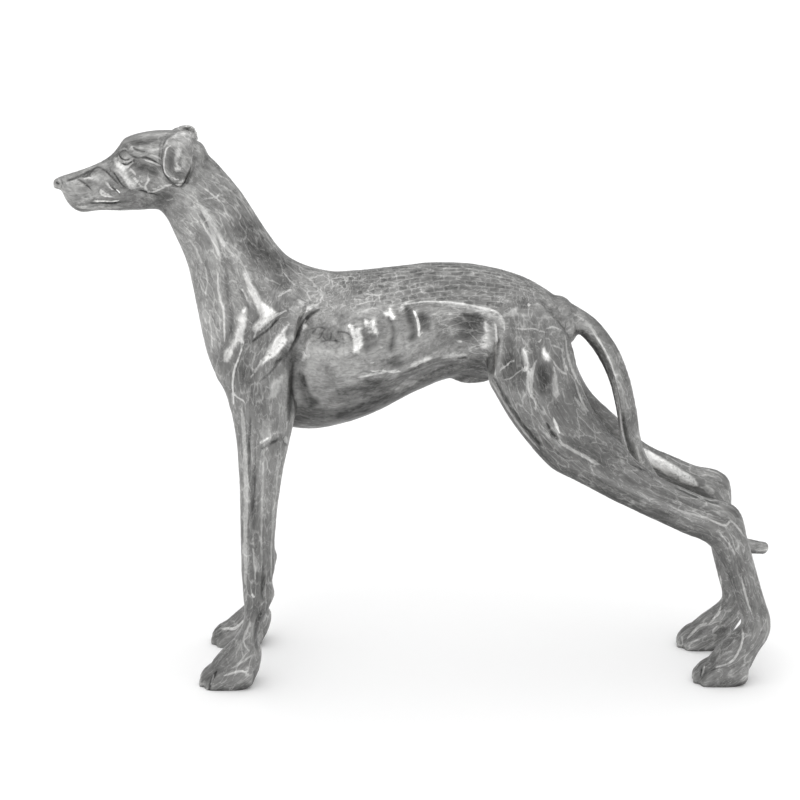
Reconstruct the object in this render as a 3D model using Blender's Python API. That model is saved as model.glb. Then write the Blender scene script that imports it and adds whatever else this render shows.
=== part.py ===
"""A standing sighthound, cast in one piece of aluminium, on its own four feet.

The figure looks along -X and stands on the plane z = 0, with the middle of its box over the origin.
Every limb is a strand: a closed skin carried through a few cross sections, each given by the two
points where it meets the outline of the dog seen from the side, its place and half width across
the body, and how its widest level leans. The strands grow into one skin, the hollows where they
meet are filled as a modeller fills them with clay, and muscles, ribs and folds are raised or
sunk along strokes. The feet are cut flat so that the figure stands.
"""
import bmesh
import bpy
import numpy as np

# Driving sizes, in metres
FIGURE_LENGTH = 0.897      # nose to the tip of the tail
FORE_STANCE = 0.138        # between the middles of the two fore paws
HIND_STANCE = 0.116        # between the middles of the two hind paws
SHOULDER_SPREAD = 0.084    # between the middles of the two shoulder blades
HIP_SPREAD = 0.078         # between the middles of the two thighs at the hip
RELIEF = 1.0               # how strongly the muscles are carved, 1 as on the real figure

# Pose and proportions are shares of the length: a unit is a millimetre at the length above
LENGTH_IN_UNITS = 897.0
UNIT = FIGURE_LENGTH / LENGTH_IN_UNITS
SKIN_CELL = 3.0            # size of the cells that the strands are grown together with, in units
SOLE_SLIVER = 0.35         # edges shorter than this at the cut soles are closed up, in units
TRIANGLES = 9300

NODE_NAME = "dog_figure"
COLOUR = (0.42, 0.42, 0.41, 1.0)
METALLIC = 1.0
ROUGHNESS = 0.42

# Trunk and neck: nape or back (x, z), throat or belly (x, z), middle, half width, lean to the back
TRUNK = (
    (-244, 677, -297, 604, 0, 25, 0.00),
    (-224, 660, -286, 590, 0, 29, 0.00),
    (-195, 624, -275, 565, 0, 31, 0.00),
    (-167, 579, -264, 536, 0, 35, 0.05),
    (-143, 546, -256, 497, 0, 44, 0.05),
    (-118, 531, -249, 457, 0, 51, 0.00),
    (-95, 525, -240, 414, 0, 54, -0.05),
    (-78, 523, -220, 374, 0, 57, -0.05),
    (-62, 524, -178, 335, 0, 61, 0.05),
    (-42, 525, -124, 321, 0, 66, 0.10),
    (-18, 528, -80, 326, 0, 67, 0.12),
    (10, 531, -34, 342, 0, 64, 0.12),
    (40, 534, 16, 368, 0, 57, 0.12),
    (72, 534, 62, 387, 0, 51, 0.15),
    (104, 530, 104, 389, 0, 50, 0.20),
    (138, 521, 146, 386, 0, 52, 0.20),
    (168, 508, 186, 396, 0, 47, 0.15),
    (192, 492, 212, 432, 0, 31, 0.00),
)

# Head: bridge or crown (x, z), lip or jaw (x, z), middle, half width, lean to the crown
HEAD = (
    (-423, 640, -421, 628, 0, 6.5, 0.00),
    (-415, 644, -412, 615, 0, 10, -0.05),
    (-394, 651, -394, 600, 0, 14, -0.10),
    (-368, 661, -367, 602, 0, 17, -0.12),
    (-350, 673, -342, 601, 0, 20.5, -0.10),
    (-335, 691, -322, 602, 0, 26, 0.05),
    (-315, 698, -302, 603, 0, 31, 0.10),
    (-290, 701, -284, 601, 0, 34, 0.12),
    (-266, 699, -266, 602, 0, 34, 0.10),
    (-248, 688, -248, 612, 0, 26, 0.00),
)

# Near foreleg: front (x, z), rear (x, z), share of the way from shoulder to paw, half width, lean
FORELEG = (
    (-170, 506, -124, 512, 0.00, 7, 0.00),
    (-206, 462, -112, 480, 0.06, 17, 0.00),
    (-229, 413, -114, 434, 0.20, 23, 0.00),
    (-217, 385, -126, 392, 0.35, 26, 0.00),
    (-208, 354, -129, 356, 0.52, 26, 0.00),
    (-203, 322, -137, 324, 0.66, 23, 0.00),
    (-201, 284, -145, 288, 0.78, 19, 0.00),
    (-200, 240, -152, 242, 0.88, 16.5, 0.00),
    (-200, 196, -157, 196, 0.94, 15.5, 0.00),
    (-200, 158, -157, 160, 0.97, 16, 0.00),
    (-198, 118, -160, 120, 1.00, 15, 0.00),
    (-197, 94, -171, 94, 1.00, 15, 0.00),
    (-207, 67, -180, 68, 1.00, 18, 0.00),
    (-230, 42, -176, 46, 1.00, 21, 0.00),
    (-243, 21, -179, 22, 1.00, 22, 0.00),
    (-238, -4, -190, -4, 1.00, 21, 0.00),
)

# Near hind leg: front (x, z), rear (x, z), share of the way from hip to paw, half width, lean
HINDLEG = (
    (126, 474, 172, 494, 0.00, 10, 0.00),
    (108, 430, 204, 458, 0.10, 22, 0.00),
    (109, 396, 216, 424, 0.20, 30, 0.00),
    (121, 373, 222, 396, 0.30, 33, 0.00),
    (139, 343, 236, 364, 0.45, 32, 0.00),
    (161, 315, 254, 339, 0.58, 28, 0.00),
    (187, 286, 276, 316, 0.70, 24, 0.00),
    (225, 266, 297, 293, 0.80, 21, 0.00),
    (267, 243, 323, 273, 0.88, 18.5, 0.00),
    (312, 221, 352, 260, 0.94, 17, 0.00),
    (354, 201, 381, 248, 0.98, 16, 0.00),
    (384, 188, 409, 242, 1.00, 15.5, 0.00),
    (398, 171, 427, 226, 1.00, 15, 0.00),
    (409, 148, 437, 190, 1.00, 14.5, 0.00),
    (420, 124, 448, 152, 1.00, 14.5, 0.00),
    (429, 96, 460, 114, 1.00, 15, 0.00),
    (432, 76, 470, 84, 1.00, 17, 0.00),
    (417, 60, 468, 62, 1.00, 20, 0.00),
    (398, 38, 457, 42, 1.00, 22, 0.00),
    (389, 18, 447, 20, 1.00, 23, 0.00),
    (390, -4, 434, -4, 1.00, 21, 0.00),
)

# Tail: outer edge (x, z), inner edge (x, z), middle, half width, lean
TAIL = (
    (160, 478, 176, 452, 0, 14, 0.00),
    (196, 488, 204, 448, 0, 17, 0.00),
    (228, 474, 220, 445, 0, 14, 0.00),
    (253, 452, 235, 431, 0, 12, 0.00),
    (274, 421, 250, 409, 0, 11.5, 0.00),
    (289, 382, 263, 379, 0, 11.5, 0.00),
    (298, 340, 273, 338, 0, 11.5, 0.00),
    (305, 302, 281, 294, 0, 11.5, 0.00),
    (322, 264, 303, 248, 0, 11, 0.00),
    (352, 229, 338, 210, 0, 11, 0.00),
    (394, 196, 385, 174, 0, 10.5, 0.00),
    (436, 174, 431, 154, 0, 10, 0.00),
    (469, 166, 465, 150, 0, 8, 0.00),
)

# Near ear, hanging against the head: front edge (x, z), rear edge (x, z), middle, half width, lean
EAR = (
    (-270, 703, -253, 703, -17, 5, 0.00),
    (-284, 694, -249, 694, -26, 7, 0.00),
    (-289, 676, -249, 676, -33, 7, 0.00),
    (-287, 658, -253, 658, -36, 6.5, 0.00),
    (-277, 645, -261, 646, -36, 5, 0.00),
)

# Sheath under the belly: upper edge (x, z), lower edge (x, z), middle, half width, lean
SHEATH = (
    (58, 398, 62, 386, 0, 5, 0.00),
    (80, 400, 82, 379, 0, 8, 0.00),
    (100, 400, 102, 380, 0, 8, 0.00),
    (124, 402, 120, 386, 0, 5, 0.00),
)

# One toe, measured back from its tip: top (x, z), underside (x, z), middle, half width, lean
TOE = (
    (56, 40, 56, 2, 0, 8.5, 0.00),
    (40, 37, 40, -4, 0, 9.5, 0.00),
    (24, 31, 24, -5, 0, 9.5, 0.00),
    (11, 23, 10, -5, 0, 8.5, 0.00),
    (4, 15, 3, -4, 0, 6.5, 0.00),
)
TOE_OFFSETS = (-17.0, -6.5, 6.5, 17.0)    # across the paw
TOE_SETBACKS = (9.0, 0.0, 0.0, 9.0)       # the outer toes are shorter
TOE_LENGTH = 60.0                         # a toe that is set back is lower by the same share
FORE_TOE_TIP = -256
HIND_TOE_TIP = 373

# The far legs differ a little from the near ones: height above the floor, step back, step up
FAR_FORE_STEPS = (
    (0, 5, 0),
    (20, 5, -3),
    (42, 6, -7),
    (60, 5, -14),
    (80, 1, -9),
    (140, -7, 0),
    (330, -7, 0),
    (430, 0, 0),
)
FAR_HIND_STEPS = (
    (0, -8, 0),
    (20, -8, 0),
    (42, -8, -4),
    (62, -7, -10),
    (80, -9, -9),
    (100, -12, -2),
    (145, -11, 0),
    (175, -5, 0),
    (205, 2, 1),
    (258, 1, 3),
    (300, 0, 4),
    (350, 0, 0),
)

# Carving, alike on both sides: height over the skin, half width, and points (x, z) along the stroke
BODY_STROKES = {
    "neck muscle": (3.2, 8, (-252, 634), (-235, 602), (-217, 573), (-198, 550), (-186, 526), (-172, 490)),
    "throat groove": (-3.0, 8, (-264, 606), (-246, 566), (-234, 528), (-230, 490), (-228, 462)),
    "throat muscle": (2.4, 5, (-249, 612), (-231, 581), (-222, 548), (-221, 498), (-216, 470)),
    "shoulder blade": (4.0, 8, (-187, 496), (-198, 466), (-216, 428)),
    "upper shoulder": (2.6, 8, (-149, 492), (-164, 482), (-178, 468)),
    "upper arm": (4.0, 9, (-136, 474), (-150, 452), (-165, 426)),
    "arm hollow": (-3.4, 8, (-168, 500), (-184, 462), (-196, 424), (-194, 386)),
    "shoulder fold": (3.0, 6, (-96, 502), (-120, 492), (-130, 466), (-136, 436)),
    "shoulder groove": (-5.0, 8, (-98, 492), (-116, 480), (-121, 452), (-125, 414), (-129, 376), (-131, 344)),
    "forearm groove": (-2.2, 5, (-174, 336), (-179, 280), (-183, 220), (-185, 150), (-183, 110)),
    "elbow": (2.6, 8, (-170, 344), (-152, 340), (-142, 334)),
    "loin ridge": (4.0, 5, (0, 494), (33, 498), (72, 493), (100, 486), (120, 477), (130, 464), (134, 438)),
    "flank hollow": (-8.5, 24, (36, 462), (70, 456), (98, 452)),
    "flank fold": (4.4, 5, (122, 470), (124, 448), (121, 416), (113, 396)),
    "fold groove": (-3.4, 5, (133, 462), (134, 440), (131, 410)),
    "rib arch": (3.4, 7, (-62, 402), (-20, 406), (12, 411), (34, 420), (72, 424), (96, 424)),
    "belly groove": (-2.8, 7, (-20, 384), (20, 396), (56, 410), (86, 410)),
    "thigh front": (3.2, 6, (152, 448), (157, 426), (160, 408)),
    "thigh middle": (2.8, 6, (176, 442), (186, 424), (196, 404)),
    "thigh groove": (-4.0, 7, (166, 430), (176, 404), (190, 382), (206, 356)),
    "thigh rear": (-2.8, 6, (204, 440), (212, 404), (228, 370), (252, 338)),
    "knee": (2.6, 8, (176, 352), (188, 330), (206, 312)),
    "shin": (2.4, 5, (220, 300), (262, 276), (310, 252), (350, 232), (388, 214)),
    "shin groove": (-2.4, 5, (256, 296), (300, 270), (345, 250), (384, 234), (404, 224)),
    "heel tendon": (2.0, 5, (428, 214), (438, 182), (450, 146), (462, 110)),
    "instep groove": (-2.0, 4, (412, 196), (428, 156), (440, 116), (446, 92)),
}
HEAD_STROKES = {
    "mouth": (-2.2, 3, (-409, 625), (-388, 620), (-366, 617), (-340, 614)),
    "brow": (2.8, 4, (-342, 686), (-331, 686), (-318, 680)),
    "eye socket": (-3.0, 4, (-343, 674), (-336, 665), (-325, 666), (-319, 674)),
    "eyeball": (2.8, 4, (-335, 674), (-329, 674)),
    "cheekbone": (3.0, 6, (-352, 662), (-336, 652), (-312, 631)),
    "temple": (-2.6, 5, (-318, 678), (-304, 672), (-292, 666)),
    "cheek": (3.0, 9, (-316, 656), (-306, 650), (-300, 644)),
    "nostril": (-2.2, 2.4, (-421, 634), (-418, 634)),
    "muzzle line": (-1.2, 3, (-412, 640), (-398, 645), (-384, 649), (-366, 655)),
    "ear hollow": (-3.4, 8, (-268, 690), (-269, 674), (-268, 656)),
}
TAIL_STROKES = {
    "tail ridge": (1.8, 4, (222, 462), (246, 440), (264, 408), (277, 366), (287, 318)),
}
CORE = 17.0                # body strokes stay farther than this from the middle plane, tail strokes nearer
CORE_BLEND = 4.0           # over which the one gives way to the other
FACING_GAIN = 1.6          # a stroke has its full height where the skin faces this much sideways, 1 over it
STROKE_STEPS = 6           # from one point of a stroke to the next
STROKE_REACH = 3.0         # in half widths, past which a stroke does nothing
STROKE_ENDS = 4.0          # a stroke fades over a quarter of its length at each end
STROKE_END_SHARE = 0.25    # of its height at the very end
RIBS = ((-70, 476, 430), (-55, 480, 434), (-36, 486, 448), (-12, 490, 452), (14, 490, 454))
RIB_HEIGHT = 3.4
RIB_HALF_WIDTH = 5.5
RIB_LEAN = 6

RINGS_PER_SECTION = 5      # of a strand
POINTS_PER_RING = 28
DOME_TURNS = (22.0, 45.0, 68.0, 84.0)     # the rings of a strand's domed end, in degrees
DOME_SHARE = 0.6           # how far a strand's end bulges, in its smaller half width
RELAX_PUSHES = (0.50, -0.52)              # in and out, so that the skin keeps its volume
RELAX_ROUNDS = 8
CREASE_ROUNDS = 26
CREASE_REACH = 6           # cells round a sharp hollow that are filled with it
CREASE_DEPTH = 0.04        # of a cell: what is hollowed more than this is a crease
CREASE_PULL = 0.5


def spline(rows, steps):
    """A Catmull-Rom curve through all the rows at once, with so many steps from row to row."""
    rows = np.asarray(rows, dtype=float)
    ends = np.vstack([2 * rows[0] - rows[1], rows, 2 * rows[-1] - rows[-2]])
    share = np.linspace(0.0, 1.0, steps, endpoint=False)[:, None]
    pieces = []
    for before, start, end, after in zip(ends[:-3], ends[1:-2], ends[2:-1], ends[3:]):
        slope, bend = end - before, 2 * before - 5 * start + 4 * end - after
        twist = 3 * start - before - 3 * end + after
        pieces.append(start + 0.5 * (slope * share + bend * share**2 + twist * share**3))
    pieces.append(rows[-1:])
    return np.vstack(pieces)


def strand(rows, steps=RINGS_PER_SECTION, around=POINTS_PER_RING):
    """Skin one strand: rings through the sections, closed by a dome over the first and last."""
    rows = spline(rows, steps)
    middle = np.stack([(rows[:, 0] + rows[:, 2]) / 2, rows[:, 4], (rows[:, 1] + rows[:, 3]) / 2], 1)
    arm = np.stack([(rows[:, 0] - rows[:, 2]) / 2, 0 * rows[:, 4], (rows[:, 1] - rows[:, 3]) / 2], 1)
    angle = np.linspace(0.0, 2 * np.pi, around, endpoint=False)
    width = rows[:, 5, None] * (1 + rows[:, 6, None] * np.cos(angle))
    rings = middle[:, None] + arm[:, None] * np.cos(angle)[None, :, None]
    rings[:, :, 1] += width * np.sin(angle)
    domes = []
    for end, inner in ((0, 1), (-1, -2)):
        outward = middle[end] - middle[inner]
        outward /= np.linalg.norm(outward)
        reach = DOME_SHARE * min(np.linalg.norm(arm[end]), rows[end, 5])
        turns = np.radians(DOME_TURNS)[:, None, None]
        caps = middle[end] + (rings[end] - middle[end]) * np.cos(turns) + outward * reach * np.sin(turns)
        domes.append((caps, middle[end] + outward * reach))
    (first, first_pole), (last, last_pole) = domes
    rings = np.concatenate([first[::-1], rings, last])
    count = len(rings)
    points = np.vstack([rings.reshape(-1, 3), first_pole, last_pole])
    faces = []
    for ring in range(count - 1):
        for spot in range(around):
            after = (spot + 1) % around
            low, high = ring * around, (ring + 1) * around
            faces.append((low + spot, low + after, high + after, high + spot))
    for spot in range(around):
        after = (spot + 1) % around
        faces.append((count * around, after, spot))
        faces.append((count * around + 1, (count - 1) * around + spot, (count - 1) * around + after))
    return points, faces


def mirrored(rows, steps=((0, 0, 0),)):
    """The same strand on the far side of the dog, moved back and up by the steps at its heights."""
    rows = np.array(rows, dtype=float)
    heights, back, up = np.array(steps, dtype=float).T
    level = (rows[:, 1] + rows[:, 3]) / 2
    rows[:, (0, 2)] += np.interp(level, heights, back)[:, None]
    rows[:, (1, 3)] += np.interp(level, heights, up)[:, None]
    rows[:, 4] *= -1
    return rows


def limb(rows, spread, stance):
    """A near leg, with the share in its fifth column turned into a place across the body."""
    rows = np.array(rows, dtype=float)
    rows[:, 4] = -(spread + (stance - spread) * rows[:, 4]) / 2 / UNIT
    return rows


def toes(tip, stance):
    """The four toes of a near paw, whose longest toes end at the tip."""
    strands = []
    for offset, setback in zip(TOE_OFFSETS, TOE_SETBACKS):
        rows = np.array(TOE, dtype=float)
        rows[:, (0, 2)] += tip + setback
        rows[:, (1, 3)] *= 1.0 - setback / TOE_LENGTH
        rows[:, 4] = offset - stance / 2 / UNIT
        strands.append(rows)
    return strands


def strands_of_figure():
    """Every strand of the figure, in units."""
    foreleg = limb(FORELEG, SHOULDER_SPREAD, FORE_STANCE)
    hindleg = limb(HINDLEG, HIP_SPREAD, HIND_STANCE)
    strands = [TRUNK, HEAD, TAIL, SHEATH, EAR, mirrored(EAR), foreleg, hindleg]
    strands += [mirrored(foreleg, FAR_FORE_STEPS), mirrored(hindleg, FAR_HIND_STEPS)]
    for toe in toes(FORE_TOE_TIP, FORE_STANCE):
        strands += [toe, mirrored(toe, FAR_FORE_STEPS)]
    for toe in toes(HIND_TOE_TIP, HIND_STANCE):
        strands += [toe, mirrored(toe, FAR_HIND_STEPS)]
    return strands


def grown_skin():
    """All strands in one mesh, grown together by a voxel remesh."""
    points, faces, start = [], [], 0
    for rows in strands_of_figure():
        strand_points, strand_faces = strand(rows)
        points.append(strand_points)
        faces += [tuple(start + corner for corner in face) for face in strand_faces]
        start += len(strand_points)
    mesh = bpy.data.meshes.new(NODE_NAME)
    mesh.from_pydata((np.vstack(points) * UNIT).tolist(), [], faces)
    figure = bpy.data.objects.new(NODE_NAME, mesh)
    bpy.context.scene.collection.objects.link(figure)
    remesh = figure.modifiers.new("Grow together", "REMESH")
    remesh.mode = "VOXEL"
    remesh.voxel_size = SKIN_CELL * UNIT
    bake(figure)
    return figure


def bake(figure):
    """Turn a figure's modifiers into its mesh."""
    bpy.context.view_layer.update()
    evaluated = figure.evaluated_get(bpy.context.evaluated_depsgraph_get())
    mesh = bpy.data.meshes.new_from_object(evaluated)
    figure.modifiers.clear()
    old, figure.data = figure.data, mesh
    bpy.data.meshes.remove(old)


def read_points(mesh):
    """The mesh's points, in units."""
    points = np.empty(len(mesh.vertices) * 3)
    mesh.vertices.foreach_get("co", points)
    return points.reshape(-1, 3) / UNIT


def write_points(mesh, points):
    """Move the mesh's points, given in units."""
    mesh.vertices.foreach_set("co", (points * UNIT).ravel())
    mesh.update()


def read_normals(mesh):
    """The direction that the skin faces at each point."""
    normals = np.empty(len(mesh.vertices) * 3)
    mesh.vertices.foreach_get("normal", normals)
    return normals.reshape(-1, 3)


def read_edges(mesh):
    """The two ends of every edge."""
    edges = np.empty(len(mesh.edges) * 2, dtype=np.int64)
    mesh.edges.foreach_get("vertices", edges)
    return edges.reshape(-1, 2)


def around_average(values, edges):
    """Each point's value replaced by the mean over its neighbours."""
    ends = np.concatenate([edges[:, 0], edges[:, 1]])
    others = np.concatenate([edges[:, 1], edges[:, 0]])
    count = np.bincount(ends, minlength=len(values))
    if values.ndim == 1:
        return np.bincount(ends, values[others], len(values)) / count
    return np.stack([np.bincount(ends, column[others], len(values)) / count for column in values.T], 1)


def relax(mesh):
    """Take the steps of the cells out of the skin without shrinking it: a push in and a push out."""
    edges, points = read_edges(mesh), read_points(mesh)
    for _ in range(RELAX_ROUNDS):
        for push in RELAX_PUSHES:
            points = points + push * (around_average(points, edges) - points)
    write_points(mesh, points)


def fill_creases(mesh):
    """Fill the sharp hollows where two strands meet, as clay is smoothed into a corner."""
    edges = read_edges(mesh)
    for _ in range(CREASE_ROUNDS):
        points, normals = read_points(mesh), read_normals(mesh)
        pull = around_average(points, edges) - points
        hollow = np.clip((pull * normals).sum(1) / (CREASE_DEPTH * SKIN_CELL) - 1.0, 0.0, 1.0)
        for _ in range(CREASE_REACH):
            hollow = np.maximum(hollow, around_average(hollow, edges))
        write_points(mesh, points + CREASE_PULL * np.clip(hollow, 0.0, 1.0)[:, None] * pull)


def rib_strokes():
    """The ribs that show through the skin, one stroke each."""
    return {
        "rib %d" % number: (RIB_HEIGHT, RIB_HALF_WIDTH, (x + RIB_LEAN, top), (x, bottom))
        for number, (x, top, bottom) in enumerate(RIBS)
    }


def lift_along(strokes, points):
    """How far the strokes raise each point of the skin, seen from the side.

    The height falls off as a bell over the half width, and to a quarter at a stroke's two ends.
    """
    flat = points[:, (0, 2)]
    lift = np.zeros(len(points))
    for height, width, *path in strokes.values():
        path = spline(path, STROKE_STEPS)
        reach = STROKE_REACH * width
        near = np.flatnonzero(((flat > path.min(0) - reach) & (flat < path.max(0) + reach)).all(1))
        away = np.full(len(near), np.inf)
        along = np.zeros(len(near))
        total = len(path) - 1
        for index, (start, end) in enumerate(zip(path[:-1], path[1:])):
            run = end - start
            share = np.clip(((flat[near] - start) @ run) / (run @ run), 0.0, 1.0)
            gap = np.linalg.norm(flat[near] - start - share[:, None] * run, axis=1)
            along = np.where(gap < away, (index + share) / total, along)
            away = np.minimum(gap, away)
        ends = STROKE_ENDS * np.stack([along, 1 - along])
        fade = np.clip(ends, STROKE_END_SHARE, 1.0).prod(0)
        lift[near] += height * fade * np.exp(-((away / width) ** 2))
    return lift


def carve(mesh):
    """Raise and sink the skin along the strokes, on the outer side of the body and of each leg."""
    points, normals = read_points(mesh), read_normals(mesh)
    facing = np.clip(FACING_GAIN * normals[:, 1] * np.sign(points[:, 1]), 0.0, 1.0)
    outside = np.clip((np.abs(points[:, 1]) - CORE) / CORE_BLEND, 0.0, 1.0)
    lift = outside * lift_along(BODY_STROKES | rib_strokes(), points)
    lift += lift_along(HEAD_STROKES, points) + (1 - outside) * lift_along(TAIL_STROKES, points)
    write_points(mesh, points + RELIEF * (lift * facing)[:, None] * normals)


def stand_on_soles(mesh):
    """Cut the feet off flat at z = 0 and close the soles."""
    work = bmesh.new()
    work.from_mesh(mesh)
    whole = work.verts[:] + work.edges[:] + work.faces[:]
    cut = bmesh.ops.bisect_plane(
        work, geom=whole, plane_co=(0, 0, 0), plane_no=(0, 0, 1), dist=1e-7, clear_inner=True
    )
    rim = [item for item in cut["geom_cut"] if isinstance(item, bmesh.types.BMVert)]
    bmesh.ops.remove_doubles(work, verts=rim, dist=SOLE_SLIVER * UNIT)
    border = [edge for edge in work.edges if edge.is_boundary]
    bmesh.ops.holes_fill(work, edges=border)
    bmesh.ops.triangulate(work, faces=work.faces[:])
    bmesh.ops.recalc_face_normals(work, faces=work.faces[:])
    work.to_mesh(mesh)
    work.free()


def thin_out(figure, triangles):
    """Keep the form with about so many triangles, most of them where it curves most."""
    work = bmesh.new()
    work.from_mesh(figure.data)
    bmesh.ops.triangulate(work, faces=work.faces[:])
    work.to_mesh(figure.data)
    work.free()
    thinner = figure.modifiers.new("Thin out", "DECIMATE")
    thinner.ratio = triangles / len(figure.data.polygons)
    bake(figure)


def centre_over_origin(mesh):
    """Bring the middle of the figure's box over the origin, with the soles on z = 0."""
    points = read_points(mesh)
    middle = (points.min(0) + points.max(0)) / 2
    middle[2] = 0.0
    write_points(mesh, points - middle)


def cast_metal():
    """Aged cast aluminium."""
    material = bpy.data.materials.new("aged aluminium")
    material.use_nodes = True
    shader = material.node_tree.nodes["Principled BSDF"]
    shader.inputs["Base Color"].default_value = COLOUR
    shader.inputs["Metallic"].default_value = METALLIC
    shader.inputs["Roughness"].default_value = ROUGHNESS
    return material


def main():
    """Model the figure."""
    for thing in list(bpy.data.objects):
        bpy.data.objects.remove(thing)
    figure = grown_skin()
    relax(figure.data)
    fill_creases(figure.data)
    carve(figure.data)
    thin_out(figure, TRIANGLES)
    stand_on_soles(figure.data)
    centre_over_origin(figure.data)
    figure.data.shade_smooth()
    figure.data.materials.append(cast_metal())


main()
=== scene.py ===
"""A standing sighthound cast in aluminium and worked by hand, in a pale studio.

The casting grows from the same strands as the solid, so it keeps the solid's form, and then gets what the
solid leaves out: the worked face and ears, cut ribs and tendons, the hammered scales of the back, and the
tool marks that run along the neck, trunk, legs and tail. Places on the figure are millimetres on its side
view, x towards the tail and z up, and y across it with the near side negative.
"""

import logging
import math
from dataclasses import dataclass, field
from enum import Enum
from typing import Any

import bmesh
import bpy
import numpy as np
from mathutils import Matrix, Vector

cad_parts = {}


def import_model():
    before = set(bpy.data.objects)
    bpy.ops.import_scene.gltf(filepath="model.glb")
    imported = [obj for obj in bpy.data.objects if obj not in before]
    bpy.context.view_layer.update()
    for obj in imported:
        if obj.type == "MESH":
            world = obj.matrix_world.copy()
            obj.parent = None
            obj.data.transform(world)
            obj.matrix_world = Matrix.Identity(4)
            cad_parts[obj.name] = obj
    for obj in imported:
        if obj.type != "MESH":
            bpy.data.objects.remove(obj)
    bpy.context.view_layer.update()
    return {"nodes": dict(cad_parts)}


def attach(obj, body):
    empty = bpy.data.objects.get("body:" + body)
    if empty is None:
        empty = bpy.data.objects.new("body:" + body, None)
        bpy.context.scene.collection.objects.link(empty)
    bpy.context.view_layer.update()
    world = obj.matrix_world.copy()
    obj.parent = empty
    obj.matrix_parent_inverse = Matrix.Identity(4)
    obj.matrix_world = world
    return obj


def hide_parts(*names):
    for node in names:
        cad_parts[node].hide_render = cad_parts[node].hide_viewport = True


LOG = logging.getLogger("dog statue")
MM = 0.001
NODE = "dog_figure"

Rows = tuple[tuple[float, ...], ...]
Strokes = dict[str, tuple]

# Columns of what the carving finds for a point: its height, then shape and strength of wear with painted
# highlight, and of painted shade
HEIGHT, WEAR_AND_HIGHLIGHT, SHADE, COLUMNS = 0, 1, 3, 5
# Where the skin stays fine: the face lies before a place, over a height and over a slant, the paws under a
# height, and the scales of the back between two places and over a height
FACE_REAR, FACE_LOW, FACE_SLANT = -246, 608, 360
PAW_TOP = 46
BACK_FRONT, BACK_REAR, BACK_LOW = -80, 165, 492
# The tool marks are weaker on the face: where it begins towards the nose and in height, and by how much
FACE_ALONG, FACE_UP, FACE_CALM = (250, 280), (600, 615), 0.6
# Where the scales of the back begin, end, and begin in height, and how much lower that is for each step back
SCALES_BEGIN, SCALES_END, SCALES_UP, SCALES_SLANT = (-100, -40), (150, 190), (484, 500), 0.04
# Ovals in which the pale veins are fainter: middle (x, z) and half sizes, and where in them that ends
BARREL_OVAL = (-40, 410, 110, 75)
HEAD_OVAL = (-330, 645, 90, 60)
OVAL_EDGE = (0.6, 1.5)
# The clouds of patina and painted shading begin between these distances from the middle plane
PAINTED_SHADING_EDGE = (8.0, 18.0)
# Layers of noise: height, size of the cells and seed
SKIN_WAVES: Rows = ((0.35, 24.0, 90), (0.16, 5.0, 91))
SCALES_ALONG_WAVES: Rows = ((2.2, 19.0, 4), (1.0, 7.0, 6))
SCALES_AROUND_WAVES: Rows = ((1.6, 21.0, 5), (0.8, 8.0, 7))
# Layers of tool marks: length and width of the cells, and height
TOOL_MARKS: Rows = ((46.0, 6.5, 1.0), (20.0, 3.4, 0.6))
# Last two places of the near toes' grain: x, y, z and radius
FORE_TOE_GRAIN: Rows = ((-224, -69, 26, 20), (-252, -69, 8, 16))
HIND_TOE_GRAIN: Rows = ((406, -58, 26, 20), (376, -58, 8, 16))

# Trunk and neck: nape or back (x, z), throat or belly (x, z), middle, half width, lean to the back
TRUNK: Rows = (
    (-244, 677, -297, 604, 0, 25, 0.00),
    (-224, 660, -286, 590, 0, 29, 0.00),
    (-195, 624, -275, 565, 0, 31, 0.00),
    (-167, 579, -264, 536, 0, 35, 0.05),
    (-143, 546, -256, 497, 0, 44, 0.05),
    (-118, 531, -249, 457, 0, 51, 0.00),
    (-95, 525, -240, 414, 0, 54, -0.05),
    (-78, 523, -220, 374, 0, 57, -0.05),
    (-62, 524, -178, 335, 0, 61, 0.05),
    (-42, 525, -124, 321, 0, 66, 0.10),
    (-18, 528, -80, 326, 0, 67, 0.12),
    (10, 531, -34, 342, 0, 64, 0.12),
    (40, 534, 16, 368, 0, 57, 0.12),
    (72, 534, 62, 387, 0, 51, 0.15),
    (104, 530, 104, 389, 0, 50, 0.20),
    (138, 521, 146, 386, 0, 52, 0.20),
    (168, 508, 186, 396, 0, 47, 0.15),
    (192, 492, 212, 432, 0, 31, 0.00),
)

# Head: bridge or crown (x, z), lip or jaw (x, z), middle, half width, lean to the crown
HEAD: Rows = (
    (-423, 640, -421, 628, 0, 6.5, 0.00),
    (-418.5, 642.5, -415, 626.5, 0, 8.5, -0.03),
    (-409, 646, -408.5, 612, 0, 11.5, -0.06),
    (-394, 651, -394, 600, 0, 14, -0.10),
    (-368, 661, -367, 602, 0, 17, -0.12),
    (-350, 673, -342, 601, 0, 20.5, -0.10),
    (-335, 691, -322, 602, 0, 26, 0.05),
    (-315, 698, -302, 603, 0, 31, 0.10),
    (-290, 701, -284, 601, 0, 34, 0.12),
    (-266, 699, -266, 602, 0, 34, 0.10),
    (-248, 688, -248, 612, 0, 26, 0.00),
)

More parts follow.
